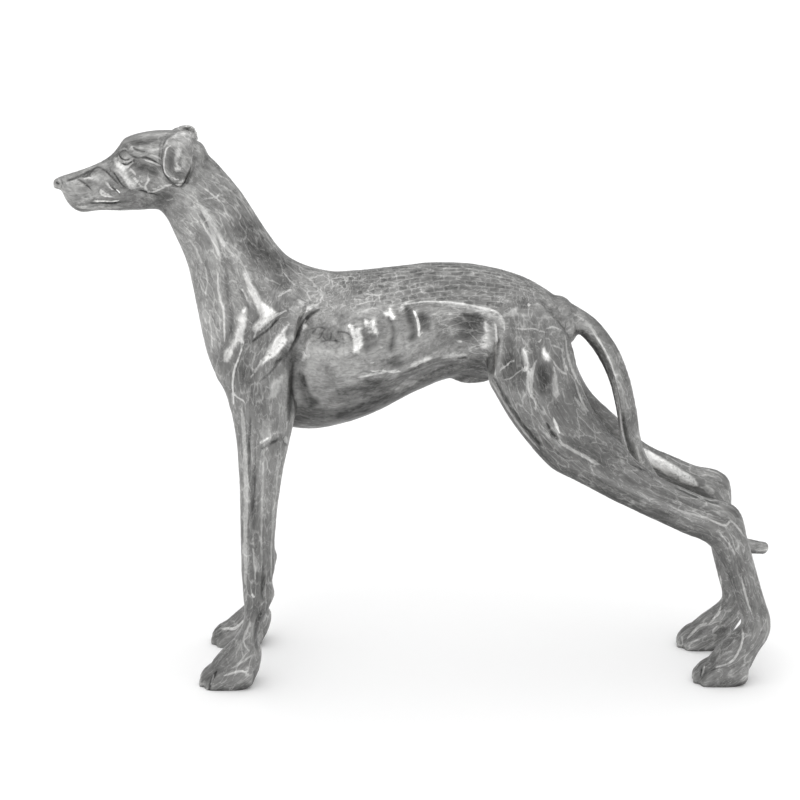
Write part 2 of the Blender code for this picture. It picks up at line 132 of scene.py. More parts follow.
# Near foreleg: front (x, z), rear (x, z), share of the way from shoulder to paw, half width, lean
FORELEG: Rows = (
    (-170, 506, -124, 512, 0.00, 7, 0.00),
    (-206, 462, -112, 480, 0.06, 17, 0.00),
    (-229, 413, -114, 434, 0.20, 23, 0.00),
    (-217, 385, -126, 392, 0.35, 26, 0.00),
    (-208, 354, -129, 356, 0.52, 26, 0.00),
    (-203, 322, -137, 324, 0.66, 23, 0.00),
    (-201, 284, -145, 288, 0.78, 19, 0.00),
    (-200, 240, -152, 242, 0.88, 16.5, 0.00),
    (-200, 196, -157, 196, 0.94, 15.5, 0.00),
    (-200, 158, -157, 160, 0.97, 16, 0.00),
    (-198.5, 140, -161, 142, 0.99, 15.5, 0.00),
    (-198, 118, -159, 120, 1.00, 15, 0.00),
    (-197, 94, -171, 94, 1.00, 15, 0.00),
    (-207, 67, -180, 68, 1.00, 18, 0.00),
    (-230, 42, -176, 46, 1.00, 21, 0.00),
    (-243, 21, -179, 22, 1.00, 22, 0.00),
    (-238, -4, -190, -4, 1.00, 21, 0.00),
)

# Near hind leg: front (x, z), rear (x, z), share of the way from hip to paw, half width, lean
HINDLEG: Rows = (
    (126, 474, 172, 494, 0.00, 10, 0.00),
    (108, 430, 204, 458, 0.10, 22, 0.00),
    (109, 396, 216, 424, 0.20, 30, 0.00),
    (121, 373, 222, 396, 0.30, 33, 0.00),
    (139, 343, 236, 364, 0.45, 32, 0.00),
    (161, 315, 254, 339, 0.58, 28, 0.00),
    (187, 286, 276, 316, 0.70, 24, 0.00),
    (225, 266, 297, 293, 0.80, 21, 0.00),
    (267, 243, 323, 273, 0.88, 18.5, 0.00),
    (312, 221, 352, 260, 0.94, 17, 0.00),
    (354, 201, 381, 248, 0.98, 16, 0.00),
    (384, 188, 409, 242, 1.00, 15.5, 0.00),
    (398, 171, 427, 226, 1.00, 15, 0.00),
    (409, 148, 437, 190, 1.00, 14.5, 0.00),
    (420, 124, 448, 152, 1.00, 14.5, 0.00),
    (429, 96, 460, 114, 1.00, 15, 0.00),
    (432, 76, 470, 84, 1.00, 17, 0.00),
    (417, 60, 468, 62, 1.00, 20, 0.00),
    (398, 38, 457, 42, 1.00, 22, 0.00),
    (389, 18, 447, 20, 1.00, 23, 0.00),
    (390, -4, 434, -4, 1.00, 21, 0.00),
)

# Tail: outer edge (x, z), inner edge (x, z), middle, half width, lean
TAIL: Rows = (
    (160, 478, 176, 452, 0, 14, 0.00),
    (196, 488, 204, 448, 0, 17, 0.00),
    (228, 474, 220, 445, 0, 14, 0.00),
    (253, 452, 235, 431, 0, 12, 0.00),
    (274, 421, 250, 409, 0, 11.5, 0.00),
    (289, 382, 263, 379, 0, 11.5, 0.00),
    (298, 340, 273, 338, 0, 11.5, 0.00),
    (305, 302, 281, 294, 0, 11.5, 0.00),
    (322, 264, 303, 248, 0, 11, 0.00),
    (352, 229, 338, 210, 0, 11, 0.00),
    (394, 196, 385, 174, 0, 10.5, 0.00),
    (436, 174, 431, 154, 0, 10, 0.00),
    (469, 166, 465, 150, 0, 8, 0.00),
)

# Near ear, hanging against the head: front edge (x, z), rear edge (x, z), middle, half width, lean
EAR: Rows = (
    (-270, 703, -253, 703, -17, 5, 0.00),
    (-284, 694, -249, 694, -26, 7, 0.00),
    (-289, 676, -249, 676, -33, 7, 0.00),
    (-287, 658, -253, 658, -36, 6.5, 0.00),
    (-277, 645, -261, 646, -36, 5, 0.00),
)

# Sheath under the belly: upper edge (x, z), lower edge (x, z), middle, half width, lean
SHEATH: Rows = (
    (58, 398, 62, 386, 0, 5, 0.00),
    (80, 400, 82, 379, 0, 8, 0.00),
    (100, 400, 102, 380, 0, 8, 0.00),
    (124, 402, 120, 386, 0, 5, 0.00),
)

# One toe, measured back from its tip: top (x, z), underside (x, z), middle, half width, lean
TOE: Rows = (
    (56, 40, 56, 2, 0, 8.5, 0.00),
    (40, 37, 40, -4, 0, 9.5, 0.00),
    (24, 31, 24, -5, 0, 9.5, 0.00),
    (11, 23, 10, -5, 0, 8.5, 0.00),
    (4, 15, 3, -4, 0, 6.5, 0.00),
)

# The far legs differ a little from the near ones: height above the floor, step back, step up
FAR_FORE_STEPS: Rows = (
    (0, 5, 0),
    (20, 5, -3),
    (42, 6, -7),
    (60, 5, -14),
    (80, 1, -9),
    (118, -2.5, -2),
    (140, -6, 0),
    (330, -7, 0),
    (430, 0, 0),
)
FAR_HIND_STEPS: Rows = (
    (0, -8, 0),
    (20, -8, 0),
    (42, -8, -4),
    (62, -7, -10),
    (80, -9, -9),
    (100, -12, -2),
    (145, -11, 0),
    (175, -5, 0),
    (205, 2, 1),
    (258, 1, 3),
    (300, 0, 4),
    (350, 0, 0),
)

# The solid's own carving: height over the skin, half width, wear, and points (x, z) along the stroke
BODY_STROKES: Strokes = {
    "neck muscle": (3.2, 8, 0.0, (-252, 634), (-235, 602), (-217, 573), (-198, 550), (-186, 526),
        (-172, 490)),
    "throat groove": (-3.0, 8, 0.0, (-264, 606), (-246, 566), (-234, 528), (-230, 490), (-228, 462)),
    "throat muscle": (2.4, 5, 0.0, (-249, 612), (-231, 581), (-222, 548), (-221, 498), (-216, 470)),
    "shoulder blade": (4.0, 8, 0.0, (-187, 496), (-198, 466), (-216, 428)),
    "upper shoulder": (2.6, 8, 0.0, (-149, 492), (-164, 482), (-178, 468)),
    "upper arm": (4.0, 9, 0.0, (-136, 474), (-150, 452), (-165, 426)),
    "arm hollow": (-3.4, 8, 0.0, (-168, 500), (-184, 462), (-196, 424), (-194, 386)),
    "shoulder fold": (3.0, 6, 0.0, (-96, 502), (-120, 492), (-130, 466), (-136, 436)),
    "shoulder groove": (-5.0, 8, 0.0, (-98, 492), (-116, 480), (-121, 452), (-125, 414), (-129, 376),
        (-131, 344)),
    "forearm groove": (-2.2, 5, 0.0, (-174, 336), (-179, 280), (-183, 220), (-185, 150), (-183, 110)),
    "elbow": (2.6, 8, 0.0, (-170, 344), (-152, 340), (-142, 334)),
    "loin ridge": (4.0, 5, 0.0, (0, 494), (33, 498), (72, 493), (100, 486), (120, 477), (130, 464),
        (134, 438)),
    "flank hollow": (-8.5, 24, 0.0, (36, 462), (70, 456), (98, 452)),
    "flank fold": (4.4, 5, 0.0, (122, 470), (124, 448), (121, 416), (113, 396)),
    "fold groove": (-3.4, 5, 0.0, (133, 462), (134, 440), (131, 410)),
    "rib arch": (3.4, 7, 0.0, (-62, 402), (-20, 406), (12, 411), (34, 420), (72, 424), (96, 424)),
    "belly groove": (-2.8, 7, 0.0, (-20, 384), (20, 396), (56, 410), (86, 410)),
    "thigh front": (3.2, 6, 0.0, (152, 448), (157, 426), (160, 408)),
    "thigh middle": (2.8, 6, 0.0, (176, 442), (186, 424), (196, 404)),
    "thigh groove": (-4.0, 7, 0.0, (166, 430), (176, 404), (190, 382), (206, 356)),
    "thigh rear": (-2.8, 6, 0.0, (204, 440), (212, 404), (228, 370), (252, 338)),
    "knee": (2.6, 8, 0.0, (176, 352), (188, 330), (206, 312)),
    "shin": (2.4, 5, 0.0, (220, 300), (262, 276), (310, 252), (350, 232), (388, 214)),
    "shin groove": (-2.4, 5, 0.0, (256, 296), (300, 270), (345, 250), (384, 234), (404, 224)),
    "heel tendon": (2.0, 5, 0.0, (428, 214), (438, 182), (450, 146), (462, 110)),
    "instep groove": (-2.0, 4, 0.0, (412, 196), (428, 156), (440, 116), (446, 92)),
    "rib 0": (3.4, 5.5, 0.0, (-64, 476), (-70, 430)),
    "rib 1": (3.4, 5.5, 0.0, (-49, 480), (-55, 434)),
    "rib 2": (3.4, 5.5, 0.0, (-30, 486), (-36, 448)),
    "rib 3": (3.4, 5.5, 0.0, (-6, 490), (-12, 452)),
    "rib 4": (3.4, 5.5, 0.0, (20, 490), (14, 454)),
}
HEAD_STROKES: Strokes = {
    "mouth": (-2.2, 3, 0.0, (-409, 625), (-388, 620), (-366, 617), (-340, 614)),
    "brow": (2.8, 4, 0.0, (-342, 686), (-331, 686), (-318, 680)),
    "eye socket": (-2.0, 4, 0.0, (-343, 674), (-336, 665), (-325, 666), (-319, 674)),
    "eyeball": (1.8, 3.4, 0.0, (-335, 674), (-329, 674)),
    "cheekbone": (3.0, 6, 0.0, (-352, 662), (-336, 652), (-312, 631)),
    "temple": (-2.6, 5, 0.0, (-318, 678), (-304, 672), (-292, 666)),
    "cheek": (3.0, 9, 0.0, (-316, 656), (-306, 650), (-300, 644)),
    "nostril": (-2.2, 2.4, 0.0, (-421, 634), (-418, 634)),
    "muzzle line": (-1.2, 3, 0.0, (-412, 640), (-398, 645), (-384, 649), (-366, 655)),
    "ear hollow": (-3.4, 8, 0.0, (-268, 690), (-269, 674), (-268, 656)),
}
TAIL_STROKES: Strokes = {
    "tail ridge": (1.8, 4, 0.0, (222, 462), (246, 440), (264, 408), (277, 366), (287, 318)),
}

# The fine cuts and facets over them, in the same way; wear is rubbed bright up to 1, as wear and painted
# highlight, or dark down to -1, as painted shade
FINE_BODY: Strokes = {
    "throat thread": (0.9, 1.5, 0.6, (-223, 535), (-222, 510), (-216, 483), (-216, 465), (-216, 442)),
    "throat shade": (-0.8, 3.0, -0.35, (-213, 540), (-211, 510), (-207, 486), (-208, 458)),
    "neck thread": (0.8, 1.5, 0.35, (-248, 622), (-232, 590), (-222, 562), (-219, 540)),
    "nape cut": (-0.8, 1.6, -0.4, (-198, 515), (-189, 503), (-184, 488)),
    "shoulder thread": (0.9, 1.4, 0.7, (-192, 450), (-197, 433), (-205, 408), (-205, 372)),
    "blade cut": (-1.2, 1.6, -0.6, (-146, 483), (-160, 468), (-175, 456), (-182, 450)),
    "arm cut": (-1.0, 1.6, -0.4, (-129, 458), (-142, 438), (-157, 417), (-172, 404)),
    "fold cut": (-2.0, 2.2, -0.8, (-97, 489), (-111, 481), (-120, 468), (-127, 453), (-138, 437),
        (-156, 425)),
    "arm shade": (-1.2, 3.0, -0.6, (-133, 450), (-134, 414), (-135, 379), (-137, 350)),
    "chest shade": (-0.8, 3.0, -0.4, (-124, 412), (-116, 384), (-112, 360)),
    "loin crest": (1.2, 1.4, 0.4, (2, 496), (30, 499), (55, 498), (78, 495), (98, 491), (115, 487),
        (125, 477), (129, 456)),
    "fourth rib thread": (1.2, 1.7, 0.9, (16, 490), (22, 475), (23, 455)),
    "rib arch thread": (0.8, 1.3, 0.45, (-58, 405), (-31, 410), (2, 415)),
    "belly cut": (-1.4, 2.6, -0.55, (-4, 406), (24, 417), (47, 424), (71, 425), (92, 421)),
    "belly plane": (1.0, 5.0, 0.22, (2, 390), (24, 403), (55, 415)),
    "flank thread": (1.4, 1.6, 0.7, (116, 475), (118, 449), (116, 407)),
    "flank speck": (1.0, 2.0, 0.5, (69, 446), (77, 445)),
    "thigh arc": (1.0, 1.8, 0.5, (168, 432), (163, 421), (161, 408), (160, 376)),
    "thigh threads": (0.8, 1.8, 0.4, (213, 383), (222, 370), (231, 358)),
    "thigh rear thread": (0.8, 1.3, 0.4, (202, 459), (205, 434), (213, 410), (224, 389), (238, 370)),
    "thigh band": (0.5, 2.6, 0.22, (186, 412), (189, 394), (187, 372)),
    "knee facet": (1.4, 1.7, 0.8, (187, 361), (192, 349), (196, 339)),
    "knee cut": (-1.4, 2.6, -0.8, (180, 352), (186, 340), (196, 328)),
    "knee mottle": (0.8, 2.6, 0.4, (190, 334), (210, 318), (233, 305), (254, 290)),
    "stifle thread": (0.9, 1.5, 0.35, (109, 404), (121, 383), (138, 357), (153, 336), (174, 312)),
    "stifle cut": (-1.2, 2.4, -0.5, (113, 406), (126, 384), (143, 358), (158, 338), (180, 314)),
    "forearm front": (0.8, 3.0, 0.35, (-194, 372), (-192, 323), (-191, 273), (-193, 206), (-194, 138)),
    "forearm cut": (-1.0, 2.0, -0.45, (-184, 360), (-186, 323), (-187, 262)),
    "forearm shade": (-0.8, 3.0, -0.4, (-178, 300), (-182, 273), (-184, 233)),
    "elbow spot": (1.2, 1.8, 1.0, (-160, 336), (-166, 332), (-174, 326)),
    "elbow cut": (-1.2, 2.4, -0.5, (-150, 331), (-162, 325), (-172, 319)),
    "forearm thread": (0.6, 1.3, 0.28, (-168, 318), (-171, 250), (-173, 206), (-173, 147)),
    "forearm rear thread": (0.6, 1.3, 0.30, (-149, 315), (-154, 263), (-160, 206), (-162, 147)),
    "wrist facet": (0.6, 1.6, 0.4, (-185, 198), (-183, 181), (-181, 147)),
    "wrist knot": (0.8, 1.6, 0.6, (-187, 129), (-182, 122)),
    "wrist shade": (-0.8, 2.4, -0.4, (-171, 168), (-172, 140), (-174, 118)),
    "pastern thread": (0.8, 1.2, 0.4, (-191, 99), (-189, 88), (-193, 80), (-197, 68), (-195, 58),
        (-190, 52)),
    "pastern shade": (-1.0, 2.6, -0.45, (-174, 106), (-181, 84), (-181, 50)),
    "fore paw crest": (0.8, 1.4, 0.35, (-187, 47), (-193, 43), (-200, 38), (-212, 31)),
    "fore paw fold": (0.8, 1.3, 0.3, (-223, 21), (-210, 25), (-200, 27), (-192, 24)),
    "fore toe cut": (-1.8, 1.8, -0.6, (-232, 24), (-239, 13), (-243, -1)),
    "fore toe crest": (0.8, 1.2, 0.3, (-236, 20), (-240, 8)),
    "shin top": (-1.0, 1.5, -0.5, (285, 294), (308, 283), (346, 261), (380, 246), (412, 240)),
    "shin crest": (1.1, 1.4, 0.42, (327, 247), (351, 235), (381, 226), (404, 216), (412, 221),
        (423, 210), (432, 197)),
    "hock facet": (0.6, 4.0, 0.22, (392, 232), (408, 229), (418, 222)),
    "hock threads": (0.7, 1.2, 0.35, (393, 213), (414, 187), (422, 167)),
    "metatarsal threads": (0.7, 1.4, 0.35, (426, 156), (436, 118), (447, 89)),
    "metatarsal edge": (0.9, 1.3, 0.3, (404, 164), (416, 132), (425, 99)),
    "hind paw crest": (1.2, 1.5, 0.5, (432, 92), (433, 64), (427, 46), (418, 34), (400, 25)),
    "hind paw cut": (-1.4, 1.8, -0.5, (412, 58), (396, 43), (386, 31), (382, 12)),
    "hind toe crest": (0.9, 1.2, 0.3, (388, 28), (383, 11)),
    "dew cut": (-0.6, 1.6, -0.2, (453, 73), (463, 72)),
    "neck crest": (0.7, 2.4, 0.42, (-246, 614), (-238, 609), (-229, 594), (-221, 578), (-211, 562),
        (-202, 554)),
    "neck second crest": (0.6, 1.6, 0.4, (-249, 607), (-238, 588), (-228, 571), (-222, 555), (-219, 541)),
    "neck hollow": (-0.8, 2.8, -0.5, (-245, 606), (-236, 595), (-229, 585)),
    "nape thread": (0.5, 1.2, 0.65, (-242, 638), (-231, 629), (-222, 621), (-218, 616)),
    "nape second thread": (0.4, 1.0, 0.5, (-242, 622), (-228, 623), (-222, 625), (-219, 630)),
    "nape third thread": (0.4, 1.0, 0.35, (-217, 613), (-211, 604), (-205, 592), (-199, 583)),
    "nape fourth thread": (0.3, 0.9, 0.3, (-195, 609), (-194, 599), (-197, 593), (-190, 581)),
    "withers thread": (0.4, 1.0, 0.4, (-146, 533), (-138, 524), (-130, 516)),
    "withers second thread": (0.4, 1.0, 0.45, (-154, 504), (-145, 507), (-136, 512), (-133, 513)),
    "withers third thread": (0.3, 1.0, 0.3, (-171, 531), (-161, 524), (-152, 520), (-138, 512)),
    "neck low thread": (0.5, 1.0, 0.5, (-197, 517), (-192, 511), (-188, 502), (-186, 494)),
    "neck low second thread": (0.3, 1.0, 0.35, (-213, 521), (-204, 524), (-197, 520)),
    "throat second thread": (0.3, 1.0, 0.35, (-244, 543), (-239, 538), (-237, 520), (-239, 502),
        (-237, 492)),
    "throat third thread": (0.3, 1.0, 0.3, (-262, 573), (-255, 566), (-249, 557), (-246, 548)),
    "throat fourth thread": (0.3, 1.0, 0.3, (-270, 594), (-264, 593), (-258, 582), (-257, 573)),
    "arm thread": (0.4, 1.0, 0.45, (-165, 437), (-173, 423), (-180, 413), (-185, 405)),
    "arm second thread": (0.3, 1.0, 0.35, (-185, 425), (-180, 419), (-175, 419), (-177, 414)),
    "breast thread": (0.5, 1.1, 0.6, (-206, 397), (-204, 387), (-198, 382), (-193, 380), (-188, 373)),
    "breast second thread": (0.3, 1.0, 0.35, (-236, 472), (-233, 459), (-233, 440), (-232, 429)),
    "blade thread": (0.4, 1.0, 0.4, (-180, 454), (-171, 468), (-160, 477), (-146, 486), (-133, 491),
        (-119, 494)),
    "blade second cut": (-0.6, 1.2, -0.5, (-176, 459), (-171, 467), (-162, 475), (-152, 481)),
    "chest swirl": (-0.4, 1.0, -0.6, (-114, 465), (-107, 466), (-100, 468), (-92, 468)),
    "chest second swirl": (-0.4, 1.0, -0.6, (-109, 456), (-107, 462), (-100, 468)),
    "chest third swirl": (-0.4, 1.0, -0.6, (-102, 454), (-98, 456), (-95, 463), (-90, 466)),
    "chest fourth swirl": (-0.3, 1.0, -0.5, (-95, 462), (-94, 456), (-88, 453), (-84, 459), (-86, 464)),
    "chest fifth swirl": (-0.4, 1.0, -0.6, (-78, 460), (-75, 464), (-69, 464), (-62, 462), (-60, 456)),
    "chest sixth swirl": (-0.3, 1.0, -0.5, (-107, 449), (-101, 448), (-91, 452), (-77, 453), (-75, 455)),
    "rib arch second thread": (0.4, 1.0, 0.5, (-50, 416), (-40, 416), (-29, 413), (-22, 415), (-8, 411),
        (1, 413), (10, 416)),
    "rib arch third thread": (0.4, 1.0, 0.4, (-53, 409), (-42, 408), (-34, 411), (-26, 413)),
    "rib arch speck": (0.4, 1.6, 0.5, (-33, 427), (-32, 424)),
    "rib arch curl": (0.3, 0.9, 0.4, (-26, 447), (-22, 444), (-19, 447)),
    "rib low thread": (0.3, 0.9, 0.4, (22, 453), (26, 459), (29, 463)),
    "hip thread": (0.4, 1.0, 0.4, (132, 466), (142, 466), (150, 465), (163, 466), (175, 462), (185, 460)),
    "hip second thread": (0.4, 1.0, 0.45, (177, 464), (187, 467), (201, 461), (203, 472)),
    "hip third thread": (0.3, 0.9, 0.4, (175, 458), (170, 451), (163, 449)),
    "hip speck": (0.4, 2.0, 0.5, (156, 493), (159, 493)),
    "thigh fork": (0.5, 1.1, 0.55, (121, 414), (128, 419), (135, 425), (142, 429)),
    "thigh second fork": (0.4, 1.0, 0.4, (125, 403), (135, 406), (145, 415), (152, 419)),
    "thigh third fork": (0.4, 1.0, 0.4, (126, 424), (124, 417), (121, 410)),
    "thigh long thread": (0.5, 1.2, 0.45, (157, 417), (156, 402), (159, 390), (165, 380), (167, 365)),
    "thigh rear second thread": (0.5, 1.1, 0.55, (187, 430), (192, 421), (201, 412), (205, 410)),
    "thigh rear third thread": (0.4, 1.0, 0.5, (195, 438), (200, 428), (205, 416), (213, 402)),
    "thigh rear fourth thread": (0.5, 1.1, 0.5, (215, 397), (220, 383), (227, 368), (235, 357)),
    "thigh rear fifth thread": (0.4, 1.4, 0.4, (188, 423), (191, 405), (193, 391), (192, 376)),
    "hip rear thread": (0.3, 1.0, 0.35, (187, 446), (194, 443), (202, 437)),
    "elbow point cut": (-0.6, 1.8, -0.35, (-149, 345), (-145, 332), (-140, 319)),
    "elbow point": (1.4, 2.6, 0.4, (-142, 333), (-140, 323)),
}
FINE_INNER: Strokes = {
    "shin facet": (1.4, 7.5, 0.9, (300, 280), (330, 260), (358, 243), (384, 229)),
    "heel facet": (0.8, 5.0, 0.4, (392, 226), (404, 218)),
    "fore pad crest": (1.2, 1.6, 0.6, (-202, 41), (-213, 30), (-221, 25), (-238, 22)),
    "instep crest": (1.2, 1.5, 0.55, (418, 104), (421, 84), (422, 66), (418, 51), (410, 43)),
    "toe facet": (0.8, 2.2, 0.4, (418, 36), (409, 27)),
    "toe crest": (1.0, 1.5, 0.45, (402, 37), (393, 31), (385, 23), (377, 15)),
    "toe thread": (0.8, 1.2, 0.35, (378, 28), (371, 19), (372, 5)),
    "inner forearm": (-1.4, 6.0, -0.5, (-172, 320), (-178, 240), (-180, 140)),
    "inner thigh": (-1.4, 10.0, -0.5, (160, 400), (190, 360), (220, 320)),
}
FINE_HEAD: Strokes = {
    "ear under": (-0.9, 1.2, -0.3, (-282, 649), (-274, 639), (-265, 637), (-256, 645), (-250, 660)),
    "ear front cut": (-0.6, 1.1, -0.2, (-281, 701), (-290, 690), (-291, 672), (-289, 657)),
    "small fold": (0.9, 1.3, 0.7, (-367, 629), (-362, 624), (-353, 622)),
    "nose cut": (-0.8, 1.0, -0.4, (-416, 644), (-413, 638), (-414, 632), (-416, 628)),
    "nostril cut": (-1.4, 1.6, -0.9, (-421, 638), (-417, 635)),
    "chin": (0.8, 2.2, 0.3, (-402, 611), (-385, 607), (-360, 607), (-335, 608)),
    "upper lid": (0.7, 1.2, 0.3, (-343, 676), (-339, 680), (-333, 682), (-328, 679)),
    "upper lid cut": (-0.6, 0.8, -0.35, (-342, 675), (-338, 678), (-333, 680), (-329, 677)),
    "lower lid cut": (-0.9, 1.0, -0.75, (-343, 675), (-340, 671), (-336, 669), (-331, 669), (-327, 672)),
    "lower lid": (0.7, 1.0, 0.35, (-343, 672), (-339, 667), (-334, 666), (-328, 668), (-323, 672)),
    "lower fold": (-0.9, 1.0, -0.75, (-339, 665), (-335, 663), (-330, 663), (-326, 667), (-322, 670)),
    "lower fold crest": (0.6, 1.2, 0.55, (-337, 662), (-332, 661), (-327, 664), (-321, 668)),
    "corner cut": (-0.8, 1.4, -0.84, (-329, 676), (-324, 674), (-316, 672), (-309, 673), (-302, 671),
        (-296, 668), (-290, 666)),
    "corner second cut": (-0.6, 1.4, -0.7, (-324, 685), (-320, 682), (-314, 680), (-309, 680)),
    "corner crest": (0.5, 1.1, 0.4, (-309, 670), (-301, 668), (-295, 666), (-289, 664)),
    "temple thread": (0.5, 1.0, 0.4, (-304, 677), (-295, 675), (-288, 672)),
    "ear rim front": (0.8, 1.0, 0.55, (-276, 690), (-282, 685), (-284, 677), (-285, 668), (-284, 658),
        (-280, 653), (-275, 651)),
    "ear rim top": (0.7, 1.6, 0.35, (-278, 698), (-281, 695), (-285, 687)),
    "ear outer cut": (-0.7, 1.0, -0.5, (-287, 684), (-288, 672), (-287, 659), (-281, 649), (-272, 640),
        (-265, 638), (-259, 648), (-253, 662), (-254, 670)),
    "ear curl": (0.6, 0.9, 0.75, (-271, 641), (-267, 640), (-263, 644), (-260, 649)),
    "ear second curl": (0.5, 0.9, 0.5, (-275, 652), (-271, 649), (-267, 650)),
    "ear inner cut": (-0.6, 1.0, -0.5, (-280, 686), (-278, 681), (-281, 678), (-280, 674)),
    "ear low cut": (-0.6, 0.9, -0.6, (-276, 657), (-272, 658), (-267, 657), (-259, 658)),
    "muzzle cut": (-0.8, 1.3, -0.7, (-394, 642), (-390, 641), (-385, 638), (-380, 634), (-375, 629)),
    "muzzle second cut": (-0.6, 1.2, -0.7, (-390, 645), (-386, 646), (-382, 646), (-375, 647)),
    "muzzle third cut": (-0.6, 1.2, -0.7, (-377, 651), (-375, 654), (-368, 657), (-363, 658)),
    "muzzle fourth cut": (-0.7, 1.2, -0.7, (-365, 656), (-358, 653), (-351, 647), (-346, 642),
        (-340, 637)),
    "muzzle fifth cut": (-0.9, 1.3, -0.7, (-353, 656), (-348, 652), (-343, 645), (-338, 638),
        (-332, 634)),
    "muzzle sixth cut": (-0.6, 1.2, -0.7, (-356, 640), (-352, 635), (-346, 631), (-340, 622)),
    "muzzle thread": (0.7, 1.2, 1.0, (-347, 633), (-344, 631), (-341, 627)),
    "muzzle second thread": (0.5, 1.2, 0.63, (-358, 640), (-354, 636), (-349, 629)),
    "muzzle third thread": (0.5, 1.4, 0.56, (-386, 642), (-381, 645), (-375, 644), (-370, 641)),
    "muzzle fourth thread": (0.5, 1.2, 0.56, (-367, 633), (-363, 629), (-356, 625), (-348, 622)),
    "bridge cut": (-0.7, 1.4, -0.77, (-413, 639), (-400, 642), (-386, 648), (-377, 653), (-369, 657)),
    "lip second crest": (0.7, 1.1, 0.75, (-373, 615), (-364, 616), (-354, 616), (-346, 617), (-340, 619)),
    "lip cut": (-1.0, 1.2, -0.7, (-387, 615), (-377, 613), (-367, 614), (-354, 613), (-346, 615),
        (-338, 616)),
    "jaw crest": (0.7, 1.2, 0.45, (-311, 629), (-299, 631), (-291, 635), (-283, 639), (-277, 641)),
    "jaw second crest": (0.5, 1.0, 0.4, (-306, 635), (-298, 635), (-290, 639), (-279, 641)),
    "jaw cut": (-0.8, 1.4, -0.84, (-320, 634), (-313, 632), (-305, 629), (-293, 627)),
    "jaw third crest": (0.4, 0.9, 0.25, (-285, 619), (-278, 621), (-274, 625)),
    "cheek swirl": (0.5, 1.0, 0.45, (-324, 649), (-319, 644), (-314, 638), (-309, 637)),
    "cheek second swirl": (0.5, 1.0, 0.4, (-318, 654), (-315, 650), (-314, 645), (-310, 640)),
    "cheek third swirl": (0.5, 1.2, 0.56, (-305, 654), (-305, 646), (-309, 638), (-306, 631)),
    "cheek fourth swirl": (0.5, 1.2, 0.49, (-330, 657), (-326, 658), (-322, 654), (-320, 649)),
}
FINE_TAIL: Strokes = {
    "tail crest": (1.0, 1.8, 0.5, (212, 476), (236, 456), (252, 430), (264, 403), (272, 374),
        (277, 350), (280, 320), (288, 291)),
    "tail shade": (-1.0, 2.6, -0.5, (226, 448), (244, 424), (257, 395), (267, 360), (271, 325), (274, 300)),
    "tail root crest": (0.8, 1.6, 0.35, (178, 486), (196, 480), (214, 468)),
}
